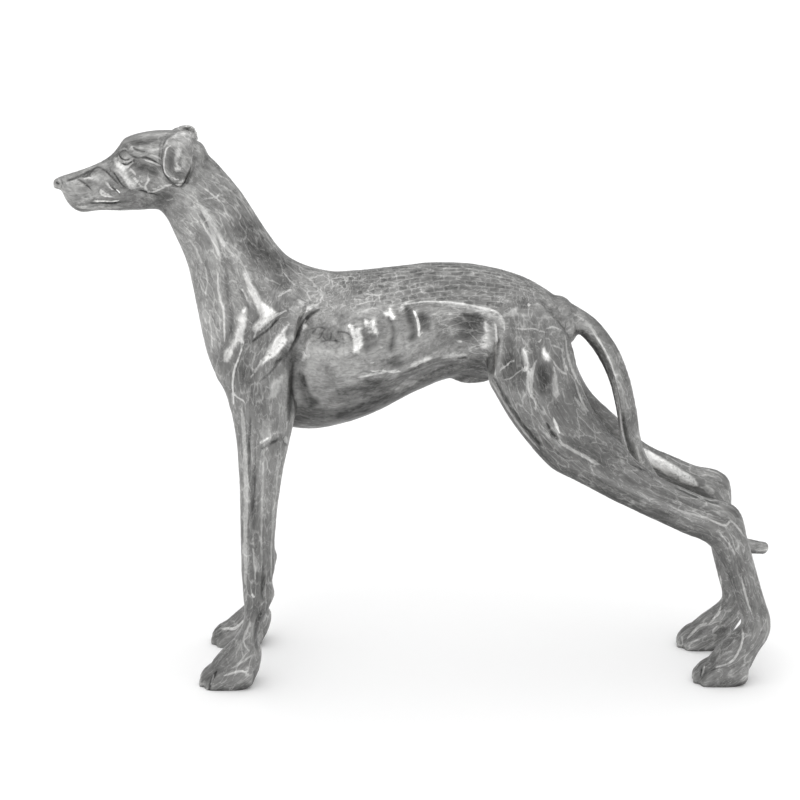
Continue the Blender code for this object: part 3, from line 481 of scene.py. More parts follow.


# Facets planed into the body and hollows cut in it: height over the skin, wear (rubbed bright as wear and
# painted highlight, or with a minus dark as painted shade), and the outline (x, z)
BODY_FACETS: Strokes = {
    "shoulder facet": (0.9, 0.85, (-188, 494), (-188, 482), (-189, 468), (-192, 461), (-192, 449),
        (-198, 449), (-204, 442), (-207, 431), (-214, 424), (-217, 428), (-216, 438), (-209, 445),
        (-203, 454), (-203, 462), (-198, 470), (-199, 478), (-195, 485)),
    "blade facet": (0.9, 1.0, (-168, 486), (-162, 484), (-150, 486), (-153, 483), (-160, 478),
        (-169, 469), (-176, 463), (-181, 464), (-179, 471), (-173, 477)),
    "arm facet": (1.0, 1.05, (-135, 474), (-139, 467), (-141, 462), (-139, 452), (-145, 444),
        (-150, 438), (-157, 433), (-165, 427), (-168, 429), (-163, 437), (-161, 444), (-157, 450),
        (-153, 457), (-148, 462), (-141, 469)),
    "fold crest": (0.9, 0.95, (-122, 482), (-120, 487), (-114, 491), (-105, 493), (-99, 493),
        (-107, 489), (-112, 487), (-118, 482), (-122, 478)),
    "fold thread": (0.6, 0.85, (-116, 475), (-115, 473), (-116, 466), (-119, 462), (-119, 465),
        (-118, 470)),
    "chest facet": (0.6, 0.75, (-112, 454), (-109, 451), (-112, 444), (-113, 433), (-120, 425),
        (-121, 432), (-118, 441), (-116, 448)),
    "forearm facet": (0.5, 0.35, (-142, 412), (-144, 407), (-148, 398), (-150, 389), (-158, 381),
        (-163, 383), (-159, 392), (-159, 402), (-152, 406), (-148, 410)),
    "elbow facet": (0.5, 0.25, (-170, 354), (-156, 358), (-158, 343), (-160, 324), (-170, 322),
        (-172, 339)),
    "shoulder wedge": (-0.4, -0.55, (-147, 441), (-138, 445), (-131, 442), (-133, 428), (-131, 409),
        (-133, 402), (-140, 419), (-145, 429)),
    "chest wedge": (-0.6, -0.8, (-122, 408), (-118, 405), (-114, 392), (-108, 378), (-101, 370),
        (-111, 365), (-119, 375), (-122, 389)),
    "nape facet": (0.9, 0.85, (-191, 534), (-186, 535), (-183, 527), (-178, 517), (-173, 509),
        (-169, 500), (-160, 493), (-152, 487), (-160, 478), (-169, 479), (-173, 484), (-176, 490),
        (-178, 497), (-183, 508), (-186, 516), (-189, 525)),
    "first rib facet": (0.8, 0.95, (-62, 473), (-58, 470), (-53, 469), (-49, 470), (-45, 468),
        (-47, 462), (-46, 452), (-50, 443), (-53, 440), (-58, 440), (-57, 446), (-58, 455), (-60, 463),
        (-62, 468)),
    "second rib facet": (0.8, 0.9, (-45, 481), (-41, 479), (-39, 475), (-38, 470), (-37, 465),
        (-39, 464), (-42, 471), (-44, 476)),
    "second rib patch": (0.8, 0.95, (-39, 476), (-34, 478), (-29, 477), (-29, 470), (-27, 462),
        (-28, 458), (-32, 464), (-35, 469), (-38, 472)),
    "third rib knob": (0.8, 1.0, (-19, 487), (-16, 490), (-12, 492), (-10, 489), (-7, 485), (-7, 480),
        (-11, 480), (-14, 482), (-18, 484)),
    "fourth rib knob": (0.7, 0.85, (-5, 486), (-3, 489), (0, 494), (4, 495), (6, 492), (1, 489),
        (-2, 486)),
    "first rib hollow": (-1.0, -0.62, (-41, 460), (-34, 464), (-27, 456), (-30, 448), (-39, 441),
        (-44, 444), (-43, 453)),
    "second rib hollow": (-1.4, -0.95, (-14, 480), (-9, 478), (-7, 470), (-7, 457), (-10, 441),
        (-13, 443), (-12, 454), (-10, 464), (-12, 474)),
    "third rib hollow": (-1.4, -0.95, (5, 494), (11, 492), (16, 486), (19, 475), (20, 459), (15, 452),
        (11, 454), (13, 467), (9, 479), (7, 487)),
    "fourth rib hollow": (-1.0, -0.7, (23, 485), (30, 485), (35, 479), (36, 466), (31, 464), (26, 467),
        (23, 476)),
    "low rib hollow": (-0.8, -0.6, (-13, 425), (-8, 427), (1, 425), (3, 421), (-4, 419), (-12, 419)),
    "rib arch facet": (0.8, 0.55, (11, 416), (16, 421), (25, 426), (36, 428), (38, 427), (34, 424),
        (25, 421), (16, 416)),
    "swirl plane": (0.3, 0.22, (-114, 448), (-101, 450), (-77, 452), (-61, 451), (-58, 440), (-76, 433),
        (-101, 430), (-113, 432)),
    "belly band": (0.4, 0.2, (-8, 378), (-4, 386), (8, 392), (22, 399), (43, 407), (62, 411), (61, 416),
        (46, 410), (26, 393), (10, 385), (-1, 376)),
    "flank facet": (0.7, 0.7, (104, 474), (108, 472), (109, 457), (108, 439), (105, 435), (100, 436),
        (100, 449), (103, 460), (102, 470)),
    "arch end facet": (0.6, 0.5, (52, 426), (57, 429), (65, 431), (79, 429), (81, 427), (75, 425),
        (65, 424), (57, 424)),
    "thigh facet": (0.8, 0.85, (148, 441), (153, 442), (155, 435), (158, 427), (156, 416), (153, 423),
        (151, 431)),
    "thigh knot": (0.9, 1.0, (173, 440), (176, 444), (179, 439), (182, 433), (181, 428), (176, 432),
        (173, 435)),
    "hip arch": (0.4, 0.45, (125, 482), (131, 486), (142, 491), (144, 490), (142, 485), (152, 483),
        (157, 479), (142, 481), (129, 479)),
    "flank plane": (0.3, 0.25, (109, 466), (116, 467), (117, 446), (114, 432), (109, 437)),
    "thigh hollow": (-0.6, -0.20, (128, 434), (142, 439), (150, 426), (154, 409), (151, 395), (135, 390),
        (125, 403), (123, 421)),
    "rear hollow": (-1.0, -0.45, (171, 424), (179, 426), (185, 419), (187, 405), (180, 398), (177, 388),
        (170, 392), (168, 409)),
    "loin hollow": (-0.5, -0.5, (73, 483), (94, 486), (107, 479), (102, 472), (98, 452), (95, 439),
        (79, 447), (65, 451), (77, 464), (63, 472)),
}
HEAD_FACETS: Strokes = {
    "cheek facet": (0.6, 0.60, (-351, 672), (-344, 670), (-338, 662), (-335, 659), (-329, 649),
        (-322, 642), (-319, 637), (-326, 631), (-331, 637), (-336, 647), (-342, 653), (-345, 658),
        (-349, 665)),
    "bridge plane": (0.2, 0.15, (-367, 660), (-353, 667), (-344, 661), (-341, 650), (-350, 655),
        (-363, 657)),
    "brow facet": (0.4, 0.35, (-316, 687), (-310, 684), (-302, 683), (-295, 684), (-287, 689),
        (-288, 681), (-295, 680), (-302, 681), (-310, 682), (-315, 683)),
    "eye corner facet": (0.4, 0.5, (-331, 686), (-325, 687), (-323, 685), (-326, 682), (-330, 683)),
    "muzzle facet": (0.2, 0.20, (-410, 636), (-401, 639), (-393, 634), (-395, 628), (-402, 627),
        (-408, 631)),
    "second muzzle facet": (0.2, 0.16, (-379, 647), (-367, 652), (-358, 649), (-357, 641), (-367, 638),
        (-374, 643)),
    "lip facet": (0.4, 0.40, (-389, 621), (-383, 620), (-373, 623), (-367, 623), (-375, 618),
        (-384, 617), (-388, 618)),
    "ear patch": (0.5, 0.60, (-271, 683), (-264, 685), (-263, 681), (-267, 673), (-268, 668),
        (-264, 662), (-257, 661), (-264, 660), (-271, 658), (-271, 664), (-273, 670), (-271, 677)),
    "ear second patch": (0.3, 0.35, (-265, 673), (-260, 674), (-257, 668), (-260, 663), (-264, 665)),
    "ear tip patch": (0.5, 0.85, (-271, 641), (-266, 645), (-262, 648), (-263, 644), (-268, 640)),
    "ear shade": (-0.5, -0.55, (-281, 686), (-276, 687), (-273, 682), (-274, 670), (-273, 660),
        (-277, 656), (-281, 662), (-282, 676)),
    "ear low shade": (-0.5, -0.65, (-275, 657), (-267, 657), (-258, 658), (-258, 653), (-263, 649),
        (-270, 646), (-274, 650)),
    "cheek hollow": (-0.4, -0.5, (-319, 668), (-305, 670), (-294, 662), (-294, 653), (-304, 650),
        (-309, 655), (-317, 657), (-324, 663)),
    "crown hollow": (-0.5, -0.55, (-319, 690), (-305, 693), (-295, 695), (-284, 698), (-284, 696),
        (-294, 692), (-304, 689), (-316, 688)),
    "throat hollow": (-0.3, -0.4, (-291, 633), (-279, 636), (-272, 630), (-280, 621), (-290, 624)),
}
# Broad dark and light clouds, partly patina and partly painted shade and painted light: how much, half
# width, and points (x, z) along the cloud
PAINTED_SHADING_AND_PATINA: Strokes = {
    "withers": (-0.17, 15, (-185, 584), (-168, 554), (-142, 532)),
    "nape": (-0.05, 10, (-224, 671), (-197, 615)),
    "neck light": (0.05, 7, (-254, 617), (-237, 574), (-230, 530)),
    "upper arm": (-0.09, 13, (-189, 412), (-175, 376)),
    "armpit": (-0.08, 6, (-131, 440), (-127, 376)),
    "chest under": (-0.07, 9, (-114, 360), (-74, 350), (-19, 369)),
    "barrel light": (0.02, 20, (-92, 438), (-43, 409)),
    "loin": (-0.09, 12, (80, 473), (96, 468)),
    "thigh": (-0.03, 14, (141, 414), (160, 385), (185, 365)),
    "knee": (-0.09, 12, (216, 327), (248, 301)),
    "cheek": (-0.09, 9, (-317, 663), (-300, 656)),
    "crown": (-0.06, 6, (-326, 692), (-284, 697)),
    "nose": (-0.08, 5, (-423, 636), (-419, 632)),
    "muzzle": (-0.03, 10, (-392, 634), (-358, 632)),
    "muzzle low": (-0.05, 5, (-384, 615), (-317, 615)),
    "jaw": (-0.05, 8, (-292, 621), (-273, 623)),
    "back": (-0.05, 12, (-60, 516), (30, 521), (110, 515)),
    "foreleg low": (-0.07, 18, (-178, 235), (-178, 190)),
    "wrist": (-0.12, 14, (-179, 150), (-179, 105)),
    "shank": (-0.05, 16, (412, 165), (424, 115)),
}


def spline(rows: Any, steps: int) -> np.ndarray:
    """A smooth curve through all the rows at once, whose slope at a row follows from the rows beside it.

    Args:
        rows: one row of numbers for each station.
        steps: how many steps lead from one row to the next.

    Returns:
        The rows of the curve, from the first station to the last.
    """
    rows = np.asarray(rows, dtype=float)
    ends = np.vstack([2 * rows[0] - rows[1], rows, 2 * rows[-1] - rows[-2]])
    share = np.linspace(0.0, 1.0, steps, endpoint=False)[None, :, None]
    before, start, end, after = (ends[first:len(ends) - 3 + first, None] for first in range(4))
    slope, bend = end - before, 2 * before - 5 * start + 4 * end - after
    twist = 3 * start - before - 3 * end + after
    curve = start + 0.5 * (slope * share + bend * share**2 + twist * share**3)
    return np.vstack([curve.reshape(-1, rows.shape[1]), rows[-1:]])


def to_segment(spots: np.ndarray, start: np.ndarray, end: np.ndarray) -> tuple[np.ndarray, np.ndarray]:
    """Each spot's distance from a segment, and which share of the segment comes before the nearest place."""
    run = end - start
    share = np.clip(((spots - start) @ run) / (run @ run), 0.0, 1.0)
    return np.linalg.norm(spots - start - share[:, None] * run, axis=1), share


def depth_inside(spots: np.ndarray, corners: np.ndarray) -> np.ndarray:
    """How far each spot lies inside an outline; outside, the distance to it as a negative number.

    Args:
        spots: places on the side view.
        corners: the outline's corners in order.

    Returns:
        One depth a spot.
    """
    nearest, inside = np.full(len(spots), np.inf), np.zeros(len(spots), dtype=bool)
    for start, end in zip(corners, np.roll(corners, -1, axis=0)):
        run = end - start
        nearest = np.minimum(nearest, to_segment(spots, start, end)[0])
        crossed = (start[1] > spots[:, 1]) != (end[1] > spots[:, 1])
        side = (spots[:, 0] - start[0]) * run[1] < run[0] * (spots[:, 1] - start[1])
        inside ^= crossed & (side == (run[1] > 0))
    return np.where(inside, nearest, -nearest)


def smooth_step(values: np.ndarray, low: float, high: float) -> np.ndarray:
    """0 below low, 1 above high, and an even rise between them."""
    share = np.clip((values - low) / (high - low), 0.0, 1.0)
    return share * share * (3 - 2 * share)


def cloud(points: np.ndarray, seed: int) -> np.ndarray:
    """Smooth noise: a hashed value at each corner of the unit cells, blended across each cell.

    Args:
        points: places, in cells.
        seed: picks the pattern.

    Returns:
        Values from -1 to 1, one a point.
    """
    cell = np.floor(points).astype(np.int64)
    share = points - cell
    share = share * share * (3 - 2 * share)
    total = np.zeros(len(points))
    for corner in np.ndindex(2, 2, 2):
        spot = cell + np.array(corner)
        code = spot[:, 0] * 73856093 ^ spot[:, 1] * 19349663 ^ spot[:, 2] * 83492791 ^ seed * 2654435761
        code = ((code ^ (code >> 13)) * 1274126177) & 0x7FFFFFFF
        value = ((code ^ (code >> 15)) & 0xFFFF) / 32767.5 - 1.0
        total += value * np.where(np.array(corner) == 1, share, 1 - share).prod(1)
    return total


def layered(points: np.ndarray, layers: Rows) -> np.ndarray:
    """Smooth noise in layers, each with its height, the size of its cells and its seed."""
    return sum(height * cloud(points / size, seed) for height, size, seed in layers)


class Side(Enum):
    """The part of the skin that a group of strokes works on."""

    OUTER = "the outer sides of the trunk and the legs"
    INNER = "the inner sides of the legs"
    HEAD = "both sides of the head"
    TAIL = "both sides of the tail"


@dataclass(frozen=True)
class Strand:
    """A closed skin carried through cross sections, each given by its two edge points on the side view.

    Attributes:
        rows: edge (x, z), other edge (x, z), place across the body, half width, lean of its widest level.
        steps: rings from one section to the next.
        around: points on a ring.
        dome: how far the ends bulge, as a share of the end section's smaller half.
        dome_turns: the angles t of the rings on the ends, in degrees.
    """

    rows: Any
    steps: int = 5
    around: int = 28
    dome: float = 0.6
    dome_turns: tuple[float, ...] = (22.0, 45.0, 68.0, 84.0)

    def middles(self) -> np.ndarray:
        """The middle of each section (x, y, z), with its mean half size as a fourth column."""
        rows = np.asarray(self.rows, dtype=float)
        half = np.hypot(rows[:, 0] - rows[:, 2], rows[:, 1] - rows[:, 3]) / 2
        middle = (rows[:, :2] + rows[:, 2:4]) / 2
        return np.stack([middle[:, 0], rows[:, 4], middle[:, 1], (half + rows[:, 5]) / 2], 1)

    def skin(self) -> tuple[np.ndarray, list[tuple[int, ...]]]:
        """The strand's closed mesh.

        A ring is middle + arm cos(a), and half width (1 + lean cos(a)) sin(a) across the body. The end
        rings shrink by cos(t) and move out by dome sin(t), for t from 0 to a right angle.

        Returns:
            Its points in millimetres and its faces.
        """
        rows = spline(self.rows, self.steps)
        middle = np.stack([(rows[:, 0] + rows[:, 2]) / 2, rows[:, 4], (rows[:, 1] + rows[:, 3]) / 2], 1)
        arm = np.stack([(rows[:, 0] - rows[:, 2]) / 2, 0 * rows[:, 4], (rows[:, 1] - rows[:, 3]) / 2], 1)
        angle = np.linspace(0.0, 2 * np.pi, self.around, endpoint=False)
        width = rows[:, 5, None] * (1 + rows[:, 6, None] * np.cos(angle))
        rings = middle[:, None] + arm[:, None] * np.cos(angle)[None, :, None]
        rings[:, :, 1] += width * np.sin(angle)
        turns = np.radians(self.dome_turns)[:, None, None]
        domes = []
        for end, inner in ((0, 1), (-1, -2)):
            outward = (middle[end] - middle[inner]) / np.linalg.norm(middle[end] - middle[inner])
            reach = self.dome * min(np.linalg.norm(arm[end]), rows[end, 5])
            caps = middle[end] + (rings[end] - middle[end]) * np.cos(turns) + outward * reach * np.sin(turns)
            domes.append((caps, middle[end] + outward * reach))
        (first, first_pole), (last, last_pole) = domes
        rings = np.concatenate([first[::-1], rings, last])
        count, around = len(rings), self.around
        spot = np.arange(around)
        after = (spot + 1) % around
        low = (np.arange(count - 1) * around)[:, None]
        high = low + around
        walls = np.stack([low + spot, low + after, high + after, high + spot], -1).reshape(-1, 4)
        pole, top = count * around, (count - 1) * around
        first_fan = np.stack([np.full(around, pole), after, spot], 1)
        last_fan = np.stack([np.full(around, pole + 1), top + spot, top + after], 1)
        points = np.vstack([rings.reshape(-1, 3), first_pole, last_pole])
        return points, walls.tolist() + first_fan.tolist() + last_fan.tolist()

    def on_far_side(self, steps: Rows = ((0, 0, 0),)) -> "Strand":
        """The same strand on the far side of the dog.

        Args:
            steps: height above the floor, and how far back and up the strand moves there.

        Returns:
            The far strand.
        """
        rows = np.array(self.rows, dtype=float)
        heights, back, up = np.array(steps, dtype=float).T
        level = (rows[:, 1] + rows[:, 3]) / 2
        rows[:, (0, 2)] += np.interp(level, heights, back)[:, None]
        rows[:, (1, 3)] += np.interp(level, heights, up)[:, None]
        rows[:, 4] *= -1
        return Strand(rows, self.steps, self.around, self.dome)


class Skin:
    """The casting's mesh, read and written as whole arrays in millimetres."""

    def __init__(self, figure: bpy.types.Object) -> None:
        """Read which points are joined by edges."""
        self.mesh = figure.data
        edges = np.empty(len(self.mesh.edges) * 2, dtype=np.int64)
        self.mesh.edges.foreach_get("vertices", edges)
        edges = edges.reshape(-1, 2)
        self.ends = np.concatenate([edges[:, 0], edges[:, 1]])
        self.others = np.concatenate([edges[:, 1], edges[:, 0]])
        self.count = np.bincount(self.ends, minlength=len(self.mesh.vertices))

    def points(self) -> np.ndarray:
        """The mesh's points."""
        points = np.empty(len(self.mesh.vertices) * 3)
        self.mesh.vertices.foreach_get("co", points)
        return points.reshape(-1, 3) / MM

    def normals(self) -> np.ndarray:
        """The direction that the skin faces at each point."""
        normals = np.empty(len(self.mesh.vertices) * 3)
        self.mesh.vertices.foreach_get("normal", normals)
        return normals.reshape(-1, 3)

    def move(self, points: np.ndarray) -> None:
        """Put the mesh's points elsewhere."""
        self.mesh.vertices.foreach_set("co", (points * MM).ravel())
        self.mesh.update()

    def average(self, values: np.ndarray) -> np.ndarray:
        """Each point's value replaced by the mean over its neighbours."""
        size = len(values)
        if values.ndim == 1:
            return np.bincount(self.ends, values[self.others], size) / self.count
        columns = [np.bincount(self.ends, column[self.others], size) / self.count for column in values.T]
        return np.stack(columns, 1)

    def relief(self, rounds: int) -> np.ndarray:
        """How far each point stands over its surroundings.

        Args:
            rounds: how many times the surroundings are averaged, which sets how wide they reach.

        Returns:
            The distance along the normal from the averaged place to the point, in millimetres.
        """
        points = self.points()
        level = points
        for _ in range(rounds):
            level = (level + self.average(level)) / 2
        return ((points - level) * self.normals()).sum(1)

    def store(self, name: str, values: np.ndarray) -> None:
        """Keep a number or a vector for each point under a name that the finish reads."""
        kind, key = ("FLOAT", "value") if values.ndim == 1 else ("FLOAT_VECTOR", "vector")
        data = self.mesh.attributes.new(name, kind, "POINT").data
        data.foreach_set(key, values.astype(np.float32).ravel())


@dataclass(frozen=True)
class Carving:
    """Strokes and facets that raise and sink the skin, alike on both sides of the dog.

    Attributes:
        strokes: groups of strokes, by the part of the skin that they work on.
        facets: groups of facets, in the same way.
        core: how far from the middle plane the outer and inner sides begin.
        blend: over what distance they begin.
        turn: how fast the strokes come in as the skin turns to the side.
        search: how many half widths round a stroke are looked at.
        cone_reach: how many half widths the cone of its wear and painted highlight, or of its painted shade,
            reaches.
        taper: one over the share of its length on which each end fades.
        blunt: the share of its height that is left at the ends.
        thin: the share of its width that is left there.
        facet_rim: how far a facet's wear and painted highlight, or its painted shade, rises to each side of
            its outline.
        bevel: how far its height does.
        curve_steps: steps of a stroke's curve from one point to the next.
        ring_steps: steps of a facet's outline from one corner to the next.
    """

    strokes: dict[Side, Strokes]
    facets: dict[Side, Strokes] = field(default_factory=dict)
    core: float = 17.0
    blend: float = 4.0
    turn: float = 1.6
    search: float = 3.0
    cone_reach: float = 2.0
    taper: float = 4.0
    blunt: float = 0.25
    thin: float = 0.3
    facet_rim: float = 9.0
    bevel: float = 3.0
    curve_steps: int = 6
    ring_steps: int = 3

    @staticmethod
    def near(flat: np.ndarray, line: np.ndarray, reach: float) -> np.ndarray:
        """Which places on the side view lie within reach of a line's box."""
        return np.flatnonzero(((flat > line.min(0) - reach) & (flat < line.max(0) + reach)).all(1))

    @staticmethod
    def mark(done: np.ndarray, near: np.ndarray, shape: np.ndarray, rub: float) -> None:
        """Note how a stroke or facet wears the skin bright with painted highlight, or paints shade on it,
        where it is stronger than those before it.
        """
        first = WEAR_AND_HIGHLIGHT if rub > 0 else SHADE
        wins = shape > done[near, first]
        done[near[wins], first] = shape[wins]
        done[near[wins], first + 1] = abs(rub)

    def along(self, strokes: Strokes, points: np.ndarray) -> np.ndarray:
        """What a group of strokes does to each point, seen from the side.

        The height falls off as a bell over the half width. The shapes of wear with painted highlight and of
        painted shade are cones over the stroke, which the finish cuts off halfway with a ragged edge. All
        narrow to the stroke's two ends.

        Args:
            strokes: the strokes by name.
            points: places on the skin.

        Returns:
            For each point the height that the strokes add, then shape and strength of its wear with painted
            highlight and of its painted shade.
        """
        flat = points[:, (0, 2)]
        done = np.zeros((len(points), COLUMNS))
        for height, width, rub, *path in strokes.values():
            path = spline(path, self.curve_steps)
            near = self.near(flat, path, self.search * width)
            away, along = np.full(len(near), np.inf), np.zeros(len(near))
            for index, (start, end) in enumerate(zip(path[:-1], path[1:])):
                gap, share = to_segment(flat[near], start, end)
                along = np.where(gap < away, (index + share) / (len(path) - 1), along)
                away = np.minimum(gap, away)
            fade = np.clip(self.taper * along, self.blunt, 1.0)
            fade *= np.clip(self.taper * (1 - along), self.blunt, 1.0)
            narrow = self.thin + (1 - self.thin) * np.sqrt(np.clip(4 * along * (1 - along), 0.0, 1.0))
            done[near, HEIGHT] += height * fade * np.exp(-((away / width) ** 2))
            self.mark(done, near, np.clip(1 - away / (self.cone_reach * width * narrow), 0.0, 1.0), rub)
        return done

    def within(self, facets: Strokes, points: np.ndarray) -> np.ndarray:
        """What a group of facets does to each point: each rises over its bevel, and its wear with painted
        highlight, or its painted shade, over its rim.

        Args:
            facets: the facets by name.
            points: places on the skin.

        Returns:
            The same columns as for strokes.
        """
        flat = points[:, (0, 2)]
        done = np.zeros((len(points), COLUMNS))
        steps = self.ring_steps
        for height, rub, *corners in facets.values():
            ring = spline(corners[-1:] + corners + corners[:2], steps)[steps:-(steps + 1)]
            near = self.near(flat, ring, self.facet_rim)
            depth = depth_inside(flat[near], ring)
            done[near, HEIGHT] += height * smooth_step(depth, -self.bevel, self.bevel)
            self.mark(done, near, np.clip(0.5 + depth / (2 * self.facet_rim), 0.0, 1.0), rub)
        return done

    @staticmethod
    def clouded(clouds: Strokes, points: np.ndarray) -> np.ndarray:
        """How light or dark the patina and painted shading are at each point: bells over every cloud's line,
        added up.
        """
        flat = points[:, (0, 2)]
        total = np.zeros(len(points))
        for amount, width, *path in clouds.values():
            path = np.array(path, dtype=float)
            away = np.min([to_segment(flat, *ends)[0] for ends in zip(path[:-1], path[1:])], axis=0)
            total += amount * np.exp(-((away / width) ** 2))
        return total

    def work(self, points: np.ndarray, normals: np.ndarray) -> np.ndarray:
        """What all groups do to the skin, each on its own part of it.

        Returns:
            How far each point is raised, then shape and strength of its wear with painted highlight and of
            its painted shade.
        """
        outward = self.turn * normals[:, 1] * np.sign(points[:, 1])
        outside = np.clip((np.abs(points[:, 1]) - self.core) / self.blend, 0.0, 1.0)
        shares = {
            Side.OUTER: outside * np.clip(outward, 0.0, 1.0),
            Side.INNER: outside * np.clip(-outward, 0.0, 1.0),
            Side.HEAD: np.clip(outward, 0.0, 1.0),
            Side.TAIL: (1 - outside) * np.clip(outward, 0.0, 1.0),
        }
        done = np.zeros((len(points), COLUMNS))
        for groups, measure in ((self.strokes, self.along), (self.facets, self.within)):
            for side, group in groups.items():
                found = measure(group, points)
                done[:, HEIGHT] += shares[side] * found[:, HEIGHT]
                for first in (WEAR_AND_HIGHLIGHT, SHADE):
                    found[:, first] *= shares[side]
                    wins = found[:, first] > done[:, first]
                    done[wins, first:first + 2] = found[wins, first:first + 2]
        return done


@dataclass(frozen=True)
class Grain:
    """The direction in which a limb was worked: coordinates along its axis and across it.

    Attributes:
        axis: places on the limb's axis (x, y, z) and its radius there.
        paired: whether the limb has a twin on the far side.
        sharpness: half the power of nearness that weighs the axis's samples.
        steps: samples from one place on the axis to the next.
        twin_start: where the far twin's lengths begin, so that its marks aren't the near limb's.
        block: how many points are measured at a time.
    """

    axis: np.ndarray
    paired: bool = False
    sharpness: int = 4
    steps: int = 8
    twin_start: float = 400.0
    block: int = 20000

    def read(self, points: np.ndarray) -> tuple[np.ndarray, np.ndarray]:
        """Each point's place in the limb.

        Length, middle and radius are means over the axis's samples, weighted by the eighth power of their
        nearness, so that nothing jumps where the axis bends.

        Args:
            points: places on the skin.

        Returns:
            Length along the axis and the two offsets across it, and the distance in radii.
        """
        samples = spline(self.axis, self.steps)
        middle, radius = samples[:, :3], samples[:, 3]
        length = np.concatenate([[0.0], np.cumsum(np.linalg.norm(np.diff(middle, axis=0), axis=1))])
        run = np.gradient(middle, axis=0)
        across = np.stack([-run[:, 2], run[:, 0]], 1) / np.linalg.norm(run[:, (0, 2)], axis=1)[:, None]
        inward = -np.abs(points[:, 1]) if self.paired else -points[:, 1]
        places = np.stack([points[:, 0], inward, points[:, 2]], 1)
        known = np.column_stack([middle, length, radius, across])
        found = []
        for block in np.array_split(places, 1 + len(places) // self.block):
            near = ((block[:, None] - middle) ** 2).sum(2)
            near = 1.0 / np.maximum(near, 1.0) ** self.sharpness
            found.append(near @ known / near.sum(1, keepdims=True))
        found = np.vstack(found)
        offset = places - found[:, :3]
        sideways = (offset[:, (0, 2)] * found[:, 5:7]).sum(1)
        far = self.twin_start * (points[:, 1] > 0) if self.paired else 0.0
        coords = np.stack([found[:, 3] + far, sideways, offset[:, 1]], 1)
        return coords, np.linalg.norm(offset, axis=1) / found[:, 4]


